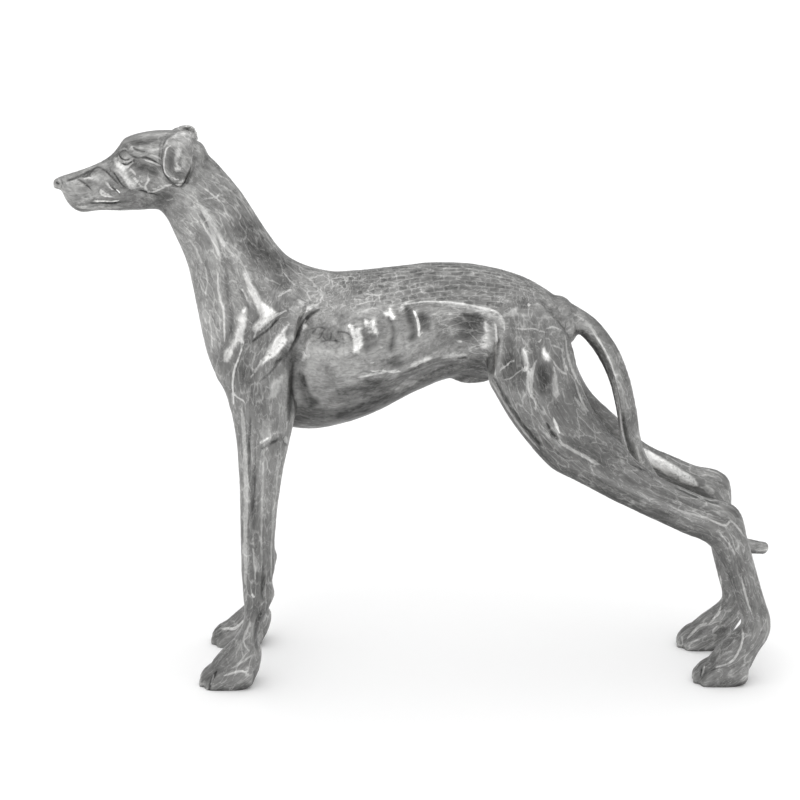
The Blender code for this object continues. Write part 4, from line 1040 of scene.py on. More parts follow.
@dataclass
class Casting:
    """The whole figure, one aluminium casting.

    Attributes:
        fore_stance: between the middles of the two fore paws.
        hind_stance: between the middles of the two hind paws.
        shoulder_spread: between the middles of the two shoulder blades.
        hip_spread: between the middles of the two thighs at the hip.
        cell: size of the cells that the strands grow together with.
        triangles: how many triangles the finished casting has, about.
        toe_offsets: from a paw's middle to the middle of each toe.
        toe_setbacks: how far each toe's tip stays behind the longest ones.
        toe_fall: the setback at which a toe would have no height left.
        fore_toe_tip: where the longest toes of the fore paws end.
        hind_toe_tip: where those of the hind paws end.
        mark_height: height of the tool marks.
        fine_share: how much of the height that the tables give the fine strokes get.
        scale_length: length of a hammered scale on the back.
        scale_row: height of a row of scales.
        scale_depth: how deep a scale is hollowed.
        back_radius: from the back's axis to its skin, where the scales are laid out.
        sole_sliver: points of a sole's rim nearer together than this become one.
        facing_rounds: how often the skin's directions are averaged before the fine strokes.
        lean_rounds: how often they are averaged for the finish, which paints shade on top and underneath
            from them.
        near_rounds: how wide the surroundings of the fine relief reach, in rounds of averaging.
        form_rounds: how wide those of the broad form do.
        grains: the grain of each limb by its name.
    """

    fore_stance: float = 138.0
    hind_stance: float = 116.0
    shoulder_spread: float = 84.0
    hip_spread: float = 78.0
    cell: float = 3.0
    triangles: int = 192000
    toe_offsets: tuple[float, ...] = (-17.0, -6.5, 6.5, 17.0)
    toe_setbacks: tuple[float, ...] = (9.0, 0.0, 0.0, 9.0)
    toe_fall: float = 60.0
    fore_toe_tip: float = -256.0
    hind_toe_tip: float = 373.0
    mark_height: float = 0.34
    fine_share: float = 0.55
    scale_length: float = 11.0
    scale_row: float = 6.0
    scale_depth: float = 0.35
    back_radius: float = 62.0
    sole_sliver: float = 0.35
    facing_rounds: int = 10
    lean_rounds: int = 20
    near_rounds: int = 8
    form_rounds: int = 70
    grains: dict[str, Grain] = field(default_factory=dict)

    def limb(self, rows: Rows, spread: float, stance: float) -> Strand:
        """A near leg, with the share in its fifth column turned into a place across the body."""
        placed = np.array(rows, dtype=float)
        placed[:, 4] = -(spread + (stance - spread) * placed[:, 4]) / 2
        return Strand(placed)

    def toes(self, tip: float, stance: float) -> list[Strand]:
        """The four toes of a near paw, whose longest toes end at the tip."""
        toes = []
        for offset, setback in zip(self.toe_offsets, self.toe_setbacks):
            rows = np.array(TOE, dtype=float)
            rows[:, (0, 2)] += tip + setback
            rows[:, (1, 3)] *= 1.0 - setback / self.toe_fall
            rows[:, 4] = offset - stance / 2
            toes.append(Strand(rows))
        return toes

    def strands(self) -> list[Strand]:
        """Every strand of the figure."""
        foreleg = self.limb(FORELEG, self.shoulder_spread, self.fore_stance)
        hindleg = self.limb(HINDLEG, self.hip_spread, self.hind_stance)
        ear = Strand(EAR)
        strands = [Strand(TRUNK), Strand(HEAD), Strand(TAIL), Strand(SHEATH), ear, ear.on_far_side()]
        strands += [foreleg, foreleg.on_far_side(FAR_FORE_STEPS)]
        strands += [hindleg, hindleg.on_far_side(FAR_HIND_STEPS)]
        for toe in self.toes(self.fore_toe_tip, self.fore_stance):
            strands += [toe, toe.on_far_side(FAR_FORE_STEPS)]
        for toe in self.toes(self.hind_toe_tip, self.hind_stance):
            strands += [toe, toe.on_far_side(FAR_HIND_STEPS)]
        return strands

    def lay_grains(self) -> None:
        """Set out the axes that the tool marks follow: nose to rump, the legs down to the toes, the tail."""
        head, trunk = Strand(HEAD).middles(), Strand(TRUNK).middles()
        fore = self.limb(FORELEG, self.shoulder_spread, self.fore_stance).middles()
        hind = self.limb(HINDLEG, self.hip_spread, self.hind_stance).middles()
        self.grains = {
            "body": Grain(np.vstack([head[:8], trunk[2:]])),
            "fore": Grain(np.vstack([fore[:-2], FORE_TOE_GRAIN]), paired=True),
            "hind": Grain(np.vstack([hind[:-2], HIND_TOE_GRAIN]), paired=True),
            "tail": Grain(Strand(TAIL).middles()),
        }

    @staticmethod
    def bake(figure: bpy.types.Object) -> None:
        """Turn a figure's modifiers into its mesh."""
        bpy.context.view_layer.update()
        evaluated = figure.evaluated_get(bpy.context.evaluated_depsgraph_get())
        mesh = bpy.data.meshes.new_from_object(evaluated)
        figure.modifiers.clear()
        old, figure.data = figure.data, mesh
        bpy.data.meshes.remove(old)

    def grow(self) -> bpy.types.Object:
        """All strands in one mesh, grown together by a voxel remesh."""
        points, faces, start = [], [], 0
        for strand in self.strands():
            strand_points, strand_faces = strand.skin()
            points.append(strand_points)
            faces += [[start + corner for corner in face] for face in strand_faces]
            start += len(strand_points)
        mesh = bpy.data.meshes.new("dog_casting")
        mesh.from_pydata((np.vstack(points) * MM).tolist(), [], faces)
        figure = bpy.data.objects.new("dog_casting", mesh)
        bpy.context.scene.collection.objects.link(figure)
        remesh = figure.modifiers.new("Grow together", "REMESH")
        remesh.mode = "VOXEL"
        remesh.voxel_size = self.cell * MM
        self.bake(figure)
        return figure

    def relax(self, skin: Skin, rounds: int = 8, pushes: tuple[float, float] = (0.50, -0.52)) -> None:
        """Take the steps of the cells out of the skin without shrinking it: a push in and a push out."""
        points = skin.points()
        for push in pushes * rounds:
            points = points + push * (skin.average(points) - points)
        skin.move(points)

    def fill_creases(self, skin: Skin, rounds: int = 26, reach: int = 6, sharp: float = 0.04) -> None:
        """Fill the sharp hollows where two strands meet, as clay is smoothed into a corner.

        Args:
            skin: the casting's skin.
            rounds: how often it is smoothed.
            reach: how many points wide the smoothing reaches round a hollow.
            sharp: how deep a hollow that counts is over one cell, in cells.
        """
        for _ in range(rounds):
            points, normals = skin.points(), skin.normals()
            pull = skin.average(points) - points
            hollow = np.clip((pull * normals).sum(1) / (sharp * self.cell) - 1.0, 0.0, 1.0)
            for _ in range(reach):
                hollow = np.maximum(hollow, skin.average(hollow))
            skin.move(points + 0.5 * np.clip(hollow, 0.0, 1.0)[:, None] * pull)

    def refine(self, figure: bpy.types.Object) -> None:
        """Split every cell in four, smoothly."""
        finer = figure.modifiers.new("Refine", "SUBSURF")
        finer.levels = finer.render_levels = 1
        self.bake(figure)

    def shares(self, readings: dict[str, tuple[np.ndarray, np.ndarray]]) -> dict[str, np.ndarray]:
        """How much each limb's grain counts at each point: the sixth power of nearness in radii."""
        pulls = {name: 1.0 / np.maximum(away, 0.2) ** 6 for name, (_, away) in readings.items()}
        whole = sum(pulls.values())
        return {name: pull / whole for name, pull in pulls.items()}

    def scale_places(self, points: np.ndarray, coords: np.ndarray) -> np.ndarray:
        """Where each point lies among the hammered scales of the back.

        Args:
            points: places on the skin.
            coords: the body grain's coordinates.

        Returns:
            Its place along the rows, its place across them, and how much the scales show there.
        """
        along = coords[:, 0] + layered(points, SCALES_ALONG_WAVES)
        around = np.arctan2(np.abs(coords[:, 2]), np.maximum(coords[:, 1], 1.0)) * self.back_radius
        around += layered(points, SCALES_AROUND_WAVES)
        zone = smooth_step(points[:, 0], *SCALES_BEGIN) * (1 - smooth_step(points[:, 0], *SCALES_END))
        zone *= smooth_step(points[:, 2] + SCALES_SLANT * points[:, 0], *SCALES_UP)
        return np.stack([along, around, zone], 1)

    def scale_pits(self, places: np.ndarray) -> np.ndarray:
        """How deep each point lies in its scale: rows laid like bricks, each scale hollowed to its middle.

        Args:
            places: what scale_places gives.

        Returns:
            The depth, from 0 at a scale's rim to 1.
        """
        row = np.floor(places[:, 1] / self.scale_row)
        column = places[:, 0] / self.scale_length + 0.5 * (row % 2 == 0)
        left = 2 * (column - np.floor(column)) - 1
        up = 2 * (places[:, 1] / self.scale_row - row) - 1
        return (1 - left**4) * (1 - up**2) * places[:, 2]

    def veins(self, points: np.ndarray) -> np.ndarray:
        """How strongly the pale veins show: less on the chest's barrel, the flank and the head."""
        shown = []
        for x, z, half_length, half_height in (BARREL_OVAL, HEAD_OVAL):
            away = ((points[:, 0] - x) / half_length) ** 2 + ((points[:, 2] - z) / half_height) ** 2
            shown.append(smooth_step(away, *OVAL_EDGE))
        return shown[0] * (1 + shown[1]) / 2

    def tool_marks(self, coords: np.ndarray, seed: int) -> np.ndarray:
        """Long shallow strokes of the modelling tool: noise drawn out along the grain, at two sizes."""
        return sum(
            height * cloud(coords / (length, width, width), seed + layer)
            for layer, (length, width, height) in enumerate(TOOL_MARKS)
        )

    def keep_fine(self, points: np.ndarray) -> np.ndarray:
        """Where the skin stays as fine as it was carved: face and ears, paws, and the scales of the back."""
        x, z = points[:, 0], points[:, 2]
        face = (x < FACE_REAR) & (z > FACE_LOW) & (x + z > FACE_SLANT)
        back = (x > BACK_FRONT) & (x < BACK_REAR) & (z > BACK_LOW)
        return face | (z < PAW_TOP) | back

    def thin_out(self, figure: bpy.types.Object, fine: np.ndarray) -> None:
        """Keep the form with fewer triangles, where it isn't kept fine.

        Args:
            figure: the casting.
            fine: which points keep all their triangles.
        """
        work = bmesh.new()
        work.from_mesh(figure.data)
        bmesh.ops.triangulate(work, faces=work.faces[:])
        work.to_mesh(figure.data)
        work.free()
        group = figure.vertex_groups.new(name="coarse")
        group.add(np.flatnonzero(~fine).tolist(), 1.0, "REPLACE")
        thinner = figure.modifiers.new("Thin out", "DECIMATE")
        thinner.ratio = self.triangles / len(figure.data.polygons)
        thinner.vertex_group = group.name
        self.bake(figure)
        figure.vertex_groups.clear()

    def stand_on_soles(self, mesh: bpy.types.Mesh) -> None:
        """Cut the feet off flat at z = 0 and close the soles."""
        work = bmesh.new()
        work.from_mesh(mesh)
        whole = work.verts[:] + work.edges[:] + work.faces[:]
        cut = bmesh.ops.bisect_plane(
            work, geom=whole, plane_co=(0, 0, 0), plane_no=(0, 0, 1), dist=1e-7, clear_inner=True
        )
        rim = [item for item in cut["geom_cut"] if isinstance(item, bmesh.types.BMVert)]
        bmesh.ops.remove_doubles(work, verts=rim, dist=self.sole_sliver * MM)
        bmesh.ops.holes_fill(work, edges=[edge for edge in work.edges if edge.is_boundary])
        bmesh.ops.triangulate(work, faces=work.faces[:])
        bmesh.ops.recalc_face_normals(work, faces=work.faces[:])
        work.to_mesh(mesh)
        work.free()

    def finish_surface(self, skin: Skin) -> np.ndarray:
        """Carve the fine strokes and facets, the tool marks and the scales, and store what the finish reads.

        Returns:
            Which points stay fine.
        """
        points, normals = skin.points(), skin.normals()
        fine = Carving(
            {Side.OUTER: FINE_BODY, Side.INNER: FINE_INNER, Side.HEAD: FINE_HEAD, Side.TAIL: FINE_TAIL},
            {Side.OUTER: BODY_FACETS, Side.HEAD: HEAD_FACETS},
        )
        facing = normals
        for _ in range(self.facing_rounds):
            facing = skin.average(facing)
        worked = fine.work(points, facing)
        readings = {name: grain.read(points) for name, grain in self.grains.items()}
        shares = self.shares(readings)
        scales = self.scale_places(points, readings["body"][0])
        marks = sum(
            shares[name] * self.tool_marks(readings[name][0], 10 * seed)
            for seed, name in enumerate(self.grains, start=1)
        )
        face = smooth_step(-points[:, 0], *FACE_ALONG) * smooth_step(points[:, 2], *FACE_UP)
        lift = worked[:, HEIGHT] * self.fine_share
        lift += self.mark_height * marks * (1 - FACE_CALM * face)
        lift -= self.scale_depth * self.scale_pits(scales)
        lift += layered(points, SKIN_WAVES)
        skin.move(points + lift[:, None] * normals)
        lean = skin.normals()
        for _ in range(self.lean_rounds):
            lean = skin.average(lean)
        flat = np.zeros(len(points))
        stored = {
            "relief": skin.relief(self.near_rounds),
            "form": skin.relief(self.form_rounds),
            # Rubbed wear with painted highlight, then painted shade in cuts and hollows
            "wear_and_highlight": np.column_stack([worked[:, WEAR_AND_HIGHLIGHT:WEAR_AND_HIGHLIGHT + 2], flat]),
            "shade": np.column_stack([worked[:, SHADE:SHADE + 2], flat]),
            # lean: how far the skin faces up, which the finish turns into painted shade on top and
            # underneath
            "lean": lean[:, 2],
            "veins": self.veins(points),
            # Clouds of patina, and of painted shade and painted light
            "painted_shading_and_patina": fine.clouded(PAINTED_SHADING_AND_PATINA, points) * smooth_step(np.abs(points[:, 1]), *PAINTED_SHADING_EDGE),
            "scales": scales * (MM, MM, 1.0),
        }
        for name, (coords, _) in readings.items():
            stored["grain_" + name] = coords * MM
            stored["share_" + name] = shares[name]
        for name, values in stored.items():
            skin.store(name, values)
        relief = stored["relief"]
        LOG.info("carved; the fine relief is %.2f to %.2f mm", relief.min(), relief.max())
        return self.keep_fine(points)

    def build(self) -> bpy.types.Object:
        """Model the casting where the solid stands.

        Returns:
            The finished piece, with the attributes that its finish reads.
        """
        self.lay_grains()
        figure = self.grow()
        skin = Skin(figure)
        self.relax(skin)
        self.fill_creases(skin)
        carving = Carving({Side.OUTER: BODY_STROKES, Side.HEAD: HEAD_STROKES, Side.TAIL: TAIL_STROKES})
        points, normals = skin.points(), skin.normals()
        points = points + carving.work(points, normals)[:, :1] * normals
        skin.move(points)
        middle = (points.min(0) + points.max(0)) / 2
        self.refine(figure)
        LOG.info("grown together, %d points", len(figure.data.vertices))
        self.thin_out(figure, self.finish_surface(Skin(figure)))
        self.stand_on_soles(figure.data)
        skin = Skin(figure)
        middle[2] = 0.0
        skin.move(skin.points() - middle)
        figure.data.shade_smooth()
        LOG.info("casting has %d triangles", len(figure.data.polygons))
        return figure


class Sock:
    """A shader value, on which Python's operators add the Math nodes."""

    def __init__(self, graph: "Graph", socket: bpy.types.NodeSocket) -> None:
        """Wrap a node's output."""
        self.graph = graph
        self.socket = socket

    def maths(self, operation: str, first: Any, second: Any = 0.0, clamp: bool = False) -> "Sock":
        """One Math node on two values."""
        settings = {"operation": operation, "use_clamp": clamp}
        return self.graph.add("ShaderNodeMath", settings, {0: first, 1: second})

    def __add__(self, other: Any) -> "Sock":
        """Sum."""
        return self.maths("ADD", self, other)

    __radd__ = __add__

    def __sub__(self, other: Any) -> "Sock":
        """Difference."""
        return self.maths("SUBTRACT", self, other)

    def __rsub__(self, other: Any) -> "Sock":
        """Difference from a number."""
        return self.maths("SUBTRACT", other, self)

    def __mul__(self, other: Any) -> "Sock":
        """Product."""
        return self.maths("MULTIPLY", self, other)

    def __pow__(self, other: Any) -> "Sock":
        """Power."""
        return self.maths("POWER", self, other)

    def __abs__(self) -> "Sock":
        """Size without its sign."""
        return self.maths("ABSOLUTE", self)

    def clamp(self) -> "Sock":
        """The value held between 0 and 1."""
        return self.maths("ADD", self, 0.0, clamp=True)

    def rise(self, low: float, high: float) -> "Sock":
        """0 below low, 1 above high, and an even rise between them."""
        return self.graph.add(
            "ShaderNodeMapRange",
            {"interpolation_type": "SMOOTHSTEP"},
            {"Value": self, "From Min": low, "From Max": high, "To Min": 0.0, "To Max": 1.0},
        )


class Graph:
    """A node tree that is filled by one method."""

    def __init__(self, tree: bpy.types.NodeTree) -> None:
        """Start from an empty tree."""
        self.tree = tree
        tree.nodes.clear()

    def add(
        self, kind: str, settings: dict | None = None, values: dict | None = None, output: Any = 0
    ) -> Sock:
        """Add a node.

        Args:
            kind: the node's type.
            settings: its own properties, which are set first.
            values: what goes into its sockets, by name or number: a Sock is linked, anything else is set.
            output: the output that is wanted, by name or number.

        Returns:
            That output.
        """
        node = self.tree.nodes.new(kind)
        for name, value in (settings or {}).items():
            setattr(node, name, value)
        for name, value in (values or {}).items():
            if isinstance(value, Sock):
                self.tree.links.new(value.socket, node.inputs[name])
            else:
                node.inputs[name].default_value = value
        return Sock(self, node.outputs[output]) if len(node.outputs) else Sock(self, None)

    def attribute(self, name: str, output: str = "Fac") -> Sock:
        """A value that is kept for each point of the mesh."""
        return self.add("ShaderNodeAttribute", {"attribute_name": name}, output=output)

    def multiply_add(self, vector: Sock, factors: Any, addend: Any) -> Sock:
        """A vector times factors, plus another vector."""
        values = {0: vector, 1: factors, 2: addend}
        return self.add("ShaderNodeVectorMath", {"operation": "MULTIPLY_ADD"}, values)

    def part(self, vector: Sock, axis: str) -> Sock:
        """One part of a vector."""
        return self.add("ShaderNodeSeparateXYZ", {}, {0: vector}, axis)

    def weigh(self, signals: dict[str, Sock], weights: dict[str, float], start: float = 0.0) -> Sock:
        """The start with every signal that has a weight added to it."""
        total = start
        for name, weight in weights.items():
            total = signals[name] * weight + total
        return total


@dataclass(frozen=True)
class Drawn:
    """A texture that is drawn out along the grain.

    Attributes:
        length: of its features along the grain, in metres.
        width: of its features across the grain.
        offset: moves the pattern, so that no two are alike.
        values: what goes into the texture's sockets.
        kind: the texture node's type.
        settings: the node's own properties.
        bend: how far a second noise bends the pattern, in features.
    """

    length: float
    width: float
    offset: float
    values: dict[str, float] = field(default_factory=dict)
    kind: str = "ShaderNodeTexNoise"
    settings: dict[str, str] = field(default_factory=dict)
    bend: float = 0.0


# Noises drawn out along the grain, and noises without a grain: scale and detail
GRAIN_NOISES = {
    "broad": Drawn(0.034, 0.016, 0.0, {"Detail": 3.0, "Distortion": 1.1}),
    "fine": Drawn(0.010, 0.0050, 7.3, {"Detail": 3.0, "Distortion": 1.4}),
    "curls": Drawn(0.034, 0.012, 5.1, {"Detail": 3.0, "Distortion": 1.7}),
    "streaks": Drawn(0.030, 0.0026, 9.7, {"Detail": 2.0, "Distortion": 0.4}),
}
PLAIN_NOISES = {"mottle": (230.0, 3.0), "patches": (34.0, 3.0), "clouds": (10.0, 2.0)}
# The noises lie evenly round this value, which is taken off them
NOISE_MIDDLE = 0.5
# Cells that make the pale nets, and the noise that bends them
CELLS = Drawn(0.030, 0.010, 3.1, {}, "ShaderNodeTexVoronoi", {"feature": "DISTANCE_TO_EDGE"}, 0.9)
BENDING_NOISE = {"Scale": 1.3, "Detail": 2.0}
# Between which two values each signal rises from nothing to full
RISES = {
    "shade": (0.22, 0.78), "wear_and_highlight": (0.38, 0.64), "upward": (0.10, 0.90), "under": (0.0, 0.75),
    "scales": (0.40, 0.90), "nets": (-0.08, 0.08), "lines": (-0.06, 0.14), "wisps": (-0.08, 0.10),
}
# One over the half width of each kind of thread, on its noise
SHARPNESS = {"nets": 12.0, "lines": 38.0, "wisps": 24.0}
# How far the marbling makes the edges of painted shade and of wear with painted highlight ragged, and the
# patches those of the scales
RAGGED_SHADE, RAGGED_WEAR_AND_HIGHLIGHT, RAGGED_SCALES = 1.1, 0.77, 2.4
# Pits in the worn metal: below which mottle they begin, how fast they deepen and how much of the wear and
# painted highlight they take off
PIT_LEVEL, PIT_SLOPE, PIT_DEPTH = -0.08, 5.0, 0.7
# What makes a crest bright by itself, from which sum on, and how bright
CRESTS = {"relief": 0.7, "marbling": 1.6, "legs": -0.15}
CREST_LEVEL, CREST_SHARE = 0.38, 0.7
# What the marbling is mixed from
MARBLING = {"broad": 0.32, "fine": 0.26, "mottle": 0.11, "patches": 0.20}
# How much each signal lightens the metal, or darkens it with a minus; upward and under are painted shade on
# skin facing up and down
TONES = {
    # the clouds: patina with painted shade and painted light
    "marbling": 0.85, "clouds": 0.13, "relief": 0.12, "form": 0.10, "painted_shading_and_patina": 1.0,
    "legs": -0.08, "upward": -0.07, "streaks": 0.06, "leg streaks": 0.12, "tail": -0.07,
    "calm": -0.03, "calm marbling": 0.5, "shaded": -0.26, "under": -0.18, "scaled": -0.11,
    "lines": 0.13, "wisps": 0.08, "nets": 0.16,
}
# How much each one adds to the height of the bumps
BUMPS = {
    "fine": 0.3, "broad": 0.3, "mottle": 0.35, "nets": 0.10, "rubbed_and_highlight": 0.25, "shaded": -0.3, "scaled": -0.2,
}


@dataclass(frozen=True)
class AgedAluminium:
    """Cast aluminium, darker in the hollows partly with age and partly by painted shade, darker on top and
    underneath by painted shade, and bright on crests and facets as rubbed wear and painted highlight.

    Attributes:
        grain_names: the limbs that have a grain of their own.
        scale_length: length of a scale on the back, in millimetres.
        scale_row: height of a row of scales.
        plain: tone of the metal where nothing lightens or darkens it.
        bright: tone where it is rubbed bright, as wear and painted highlight.
        bright_play: how much the fine noise changes the bright tone.
        tone_power: turns a tone as it is seen into the share of light that is thrown back.
        tint: red, green and blue of the metal.
        faint_veins: how much of the threads is left where the veins are faint.
        leg_calm: how much weaker the marbling is on the legs.
        form_reach: height of the broad form that counts as full, in millimetres.
        scale_gap: width of the rims between scales, in metres.
        bump_strength: how strongly the bumps turn the light.
        bump_depth: height of the bumps, in metres.
        roughness: of the unpolished metal, and how much smoother the polished metal is.
    """

    grain_names: tuple[str, ...]
    scale_length: float
    scale_row: float
    plain: float = 0.58
    bright: float = 0.95
    bright_play: float = 0.45
    tone_power: float = 2.2
    tint: tuple[float, float, float] = (1.0, 0.996, 0.978)
    faint_veins: float = 0.35
    leg_calm: float = 0.45
    form_reach: float = 3.5
    scale_gap: float = 0.0013
    bump_strength: float = 0.35
    bump_depth: float = 0.0007
    roughness: tuple[float, float] = (0.44, 0.12)

    def along_grain(self, graph: Graph, drawn: Drawn) -> Sock:
        """A texture drawn out along the grain of every limb, each limb's counting by its share."""
        total = 0.0
        stretch = (1 / drawn.length, 1 / drawn.width, 1 / drawn.width)
        for name in self.grain_names:
            coords = graph.attribute("grain_" + name, "Vector")
            scaled = graph.multiply_add(coords, stretch, (drawn.offset,) * 3)
            if drawn.bend:
                noise = graph.add("ShaderNodeTexNoise", {}, {"Vector": scaled, **BENDING_NOISE}, "Color")
                scaled = graph.multiply_add(noise, (drawn.bend,) * 3, scaled)
            texture = graph.add(drawn.kind, drawn.settings, {"Vector": scaled, "Scale": 1.0, **drawn.values})
            total = graph.attribute("share_" + name) * texture + total
        return total

    def scales(self, graph: Graph, patches: Sock) -> Sock:
        """How dark the scales of the back are: each has its own tone inside a pale rim."""
        places = graph.attribute("scales", "Vector")
        bricks = graph.add(
            "ShaderNodeTexBrick", {"offset": 0.5, "offset_frequency": 2},
            {
                "Vector": places, "Scale": 1.0, "Brick Width": self.scale_length * MM,
                "Row Height": self.scale_row * MM, "Mortar Size": self.scale_gap, "Mortar Smooth": 1.0,
                "Bias": 0.0, "Color1": (0.1, 0.1, 0.1, 1.0), "Color2": (1.0, 1.0, 1.0, 1.0),
                "Mortar": (0.0, 0.0, 0.0, 1.0),
            },
            output="Color",
        )
        return bricks * (graph.part(places, "Z") + patches * RAGGED_SCALES).rise(*RISES["scales"])

    def noises(self, graph: Graph) -> dict[str, Sock]:
        """Every noise by name, and the marbling that is mixed from them."""
        place = graph.add("ShaderNodeTexCoord", output="Object")
        found = {name: self.along_grain(graph, drawn) - NOISE_MIDDLE for name, drawn in GRAIN_NOISES.items()}
        for name, (scale, detail) in PLAIN_NOISES.items():
            values = {"Vector": place, "Scale": scale, "Detail": detail}
            found[name] = graph.add("ShaderNodeTexNoise", {}, values) - NOISE_MIDDLE
        found["legs"] = graph.attribute("share_fore") + graph.attribute("share_hind")
        found["marbling"] = graph.weigh(found, MARBLING) * (1.0 - found["legs"] * self.leg_calm)
        return found

    def signals(self, graph: Graph) -> dict[str, Sock]:
        """Every signal that the tone, the polish and the bumps are made from, by name."""
        found = self.noises(graph)
        patches, marbling, lean = found["patches"], found["marbling"], graph.attribute("lean")
        veined = graph.attribute("veins")
        quiet = self.faint_veins + veined * (1 - self.faint_veins)
        shade = graph.attribute("shade", "Vector")
        ragged_shade = (graph.part(shade, "X") + marbling * RAGGED_SHADE).rise(*RISES["shade"])
        away = {"lines": abs(found["curls"]), "wisps": abs(found["fine"])}
        away["nets"] = self.along_grain(graph, CELLS)
        threads = {name: (1.0 - away[name] * sharp).clamp() for name, sharp in SHARPNESS.items()}
        found.update({
            "relief": graph.attribute("relief"),
            "form": graph.attribute("form").rise(-self.form_reach, self.form_reach) - 0.5,
            # Clouds of patina, and of painted shade and painted light
            "painted_shading_and_patina": graph.attribute("painted_shading_and_patina"),
            "tail": graph.attribute("share_tail"),
            # Painted shade: darker where the skin faces up and where it faces down
            "upward": lean.rise(*RISES["upward"]),
            "under": (0.0 - lean).rise(*RISES["under"]),
            "calm": 1.0 - quiet,
            "calm marbling": (1.0 - quiet) * marbling,
            "leg streaks": found["legs"] * found["streaks"],
            "shaded": ragged_shade * graph.part(shade, "Y"),
            "scaled": self.scales(graph, patches),
            "nets": threads["nets"] * patches.rise(*RISES["nets"]) * veined,
            "lines": threads["lines"] * (1.0 - patches.rise(*RISES["lines"])) * quiet,
            "wisps": threads["wisps"] * patches.rise(*RISES["wisps"]) * quiet,
        })
        # Rubbed metal on the strokes and facets: wear, with a painted highlight in the colour
        wear_and_highlight = graph.attribute("wear_and_highlight", "Vector")
        unpitted = 1.0 - (PIT_LEVEL - found["mottle"]).clamp() * PIT_SLOPE * PIT_DEPTH
        ragged_wear_and_highlight = (graph.part(wear_and_highlight, "X") + marbling * RAGGED_WEAR_AND_HIGHLIGHT).rise(*RISES["wear_and_highlight"])
        found["rubbed_and_highlight"] = (ragged_wear_and_highlight * unpitted * graph.part(wear_and_highlight, "Y")).clamp()
        return found

    def build(self) -> bpy.types.Material:
        """Make the material."""
        material = bpy.data.materials.new("aged aluminium")
        material.use_nodes = True
        graph = Graph(material.node_tree)
        found = self.signals(graph)
        level = graph.weigh(found, TONES, self.plain)
        crests = (graph.weigh(found, CRESTS) - CREST_LEVEL).clamp()
        # Polish: smoother metal, and a painted highlight in the colour, where rubbed and on crests
        polish_and_highlight = (found["rubbed_and_highlight"] + crests * CREST_SHARE).clamp()
        level = level + (self.bright + found["fine"] * self.bright_play - level) * polish_and_highlight
        albedo = level.clamp() ** self.tone_power
        red, green, blue = self.tint
        parts = {"Red": albedo * red, "Green": albedo * green, "Blue": albedo * blue}
        colour = graph.add("ShaderNodeCombineColor", {}, parts)
        height = graph.weigh(found, BUMPS)
        bump = graph.add(
            "ShaderNodeBump", {},
            {"Height": height, "Strength": self.bump_strength, "Distance": self.bump_depth},
            output="Normal",
        )
        rough, smoother = self.roughness
        shader = graph.add(
            "ShaderNodeBsdfPrincipled", {},
            {"Base Color": colour, "Metallic": 1.0, "Roughness": rough - polish_and_highlight * smoother, "Normal": bump},
            output="BSDF",
        )
        graph.add("ShaderNodeOutputMaterial", {}, {"Surface": shader})
        return material


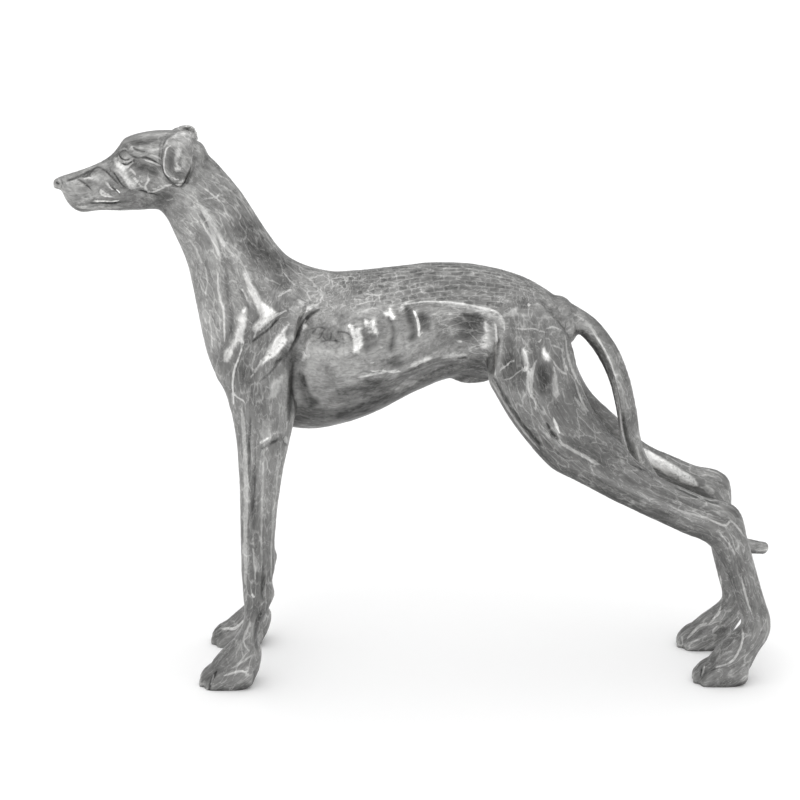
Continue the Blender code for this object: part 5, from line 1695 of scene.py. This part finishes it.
@dataclass
class Studio:
    """A plain pale room: a floor, soft light from all round and the camera of the photograph.

    Attributes:
        camera_place: where the camera stands, in metres.
        camera_pitch: how far it is turned down, in degrees.
        lens: its focal length and the width of its sensor, in millimetres.
        floor_reach: from the middle of the floor to its edges.
        floor_tone: share of light that the floor throws back.
        horizon: brightness of the room at the level of the eye.
        overhead: how much brighter it is overhead.
        overhead_rise: heights on the dome between which that begins.
        box_aim: the way to the soft box.
        box_strength: its brightness.
        box_rise: how near to that way its light begins and is full, as cosines.
    """

    camera_place: tuple[float, float, float] = (-0.0237, -3.0, 1.30)
    camera_pitch: float = 17.45
    lens: tuple[float, float] = (112.5, 36.0)
    floor_reach: float = 30.0
    floor_tone: float = 0.93
    horizon: float = 0.66
    overhead: float = 0.85
    overhead_rise: tuple[float, float] = (0.30, 0.95)
    box_aim: tuple[float, float, float] = (-0.15, -0.75, 0.65)
    box_strength: float = 0.55
    box_rise: tuple[float, float] = (0.80, 0.97)

    def lay_floor(self) -> bpy.types.Object:
        """A wide flat floor, almost white."""
        reach = self.floor_reach
        mesh = bpy.data.meshes.new("floor")
        corners = [(-reach, -reach, 0), (reach, -reach, 0), (reach, reach, 0), (-reach, reach, 0)]
        mesh.from_pydata(corners, [], [(0, 1, 2, 3)])
        floor = bpy.data.objects.new("floor", mesh)
        bpy.context.scene.collection.objects.link(floor)
        material = bpy.data.materials.new("pale floor")
        material.use_nodes = True
        graph = Graph(material.node_tree)
        tone = self.floor_tone
        shader = graph.add(
            "ShaderNodeBsdfPrincipled", {},
            {"Base Color": (tone, tone, tone, 1.0), "Roughness": 0.9, "Specular IOR Level": 0.0},
            output="BSDF",
        )
        graph.add("ShaderNodeOutputMaterial", {}, {"Surface": shader})
        mesh.materials.append(material)
        return floor

    def light_room(self) -> None:
        """The light of the room: even all round, brighter overhead, with a soft box behind the camera."""
        world = bpy.data.worlds.new("room")
        bpy.context.scene.world = world
        world.use_nodes = True
        graph = Graph(world.node_tree)
        direction = graph.add("ShaderNodeTexCoord", output="Generated")
        facing = graph.add(
            "ShaderNodeVectorMath", {"operation": "DOT_PRODUCT"},
            {0: direction, 1: Vector(self.box_aim).normalized()}, output="Value",
        )
        level = self.horizon + graph.part(direction, "Z").rise(*self.overhead_rise) * self.overhead
        level = level + facing.rise(*self.box_rise) * self.box_strength
        light = {"Color": (1.0, 1.0, 1.0, 1.0), "Strength": level}
        background = graph.add("ShaderNodeBackground", {}, light)
        graph.add("ShaderNodeOutputWorld", {}, {"Surface": background})

    def set_camera(self) -> None:
        """The photograph's camera: level, and turned down to the figure."""
        data = bpy.data.cameras.new("camera")
        data.lens, data.sensor_width = self.lens
        camera = bpy.data.objects.new("camera", data)
        camera.location = self.camera_place
        camera.rotation_euler = (math.pi / 2 - math.radians(self.camera_pitch), 0.0, 0.0)
        bpy.context.scene.collection.objects.link(camera)
        bpy.context.scene.camera = camera

    def build(self) -> None:
        """Set the whole room up."""
        self.set_camera()
        self.lay_floor()
        self.light_room()
        bpy.context.scene.view_settings.view_transform = "Standard"


def main() -> None:
    """Build the studio and the casting."""
    logging.basicConfig(level=logging.INFO, format="%(name)s: %(message)s")
    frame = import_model()
    LOG.info("frame has the nodes %s", sorted(frame["nodes"]))
    Studio().build()
    casting = Casting()
    figure = casting.build()
    figure.data.materials.clear()
    finish = AgedAluminium(tuple(casting.grains), casting.scale_length, casting.scale_row)
    figure.data.materials.append(finish.build())
    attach(figure, "root")
    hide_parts(NODE)
    LOG.info("placed %s", figure.name)


if __name__ == "__main__":
    main()
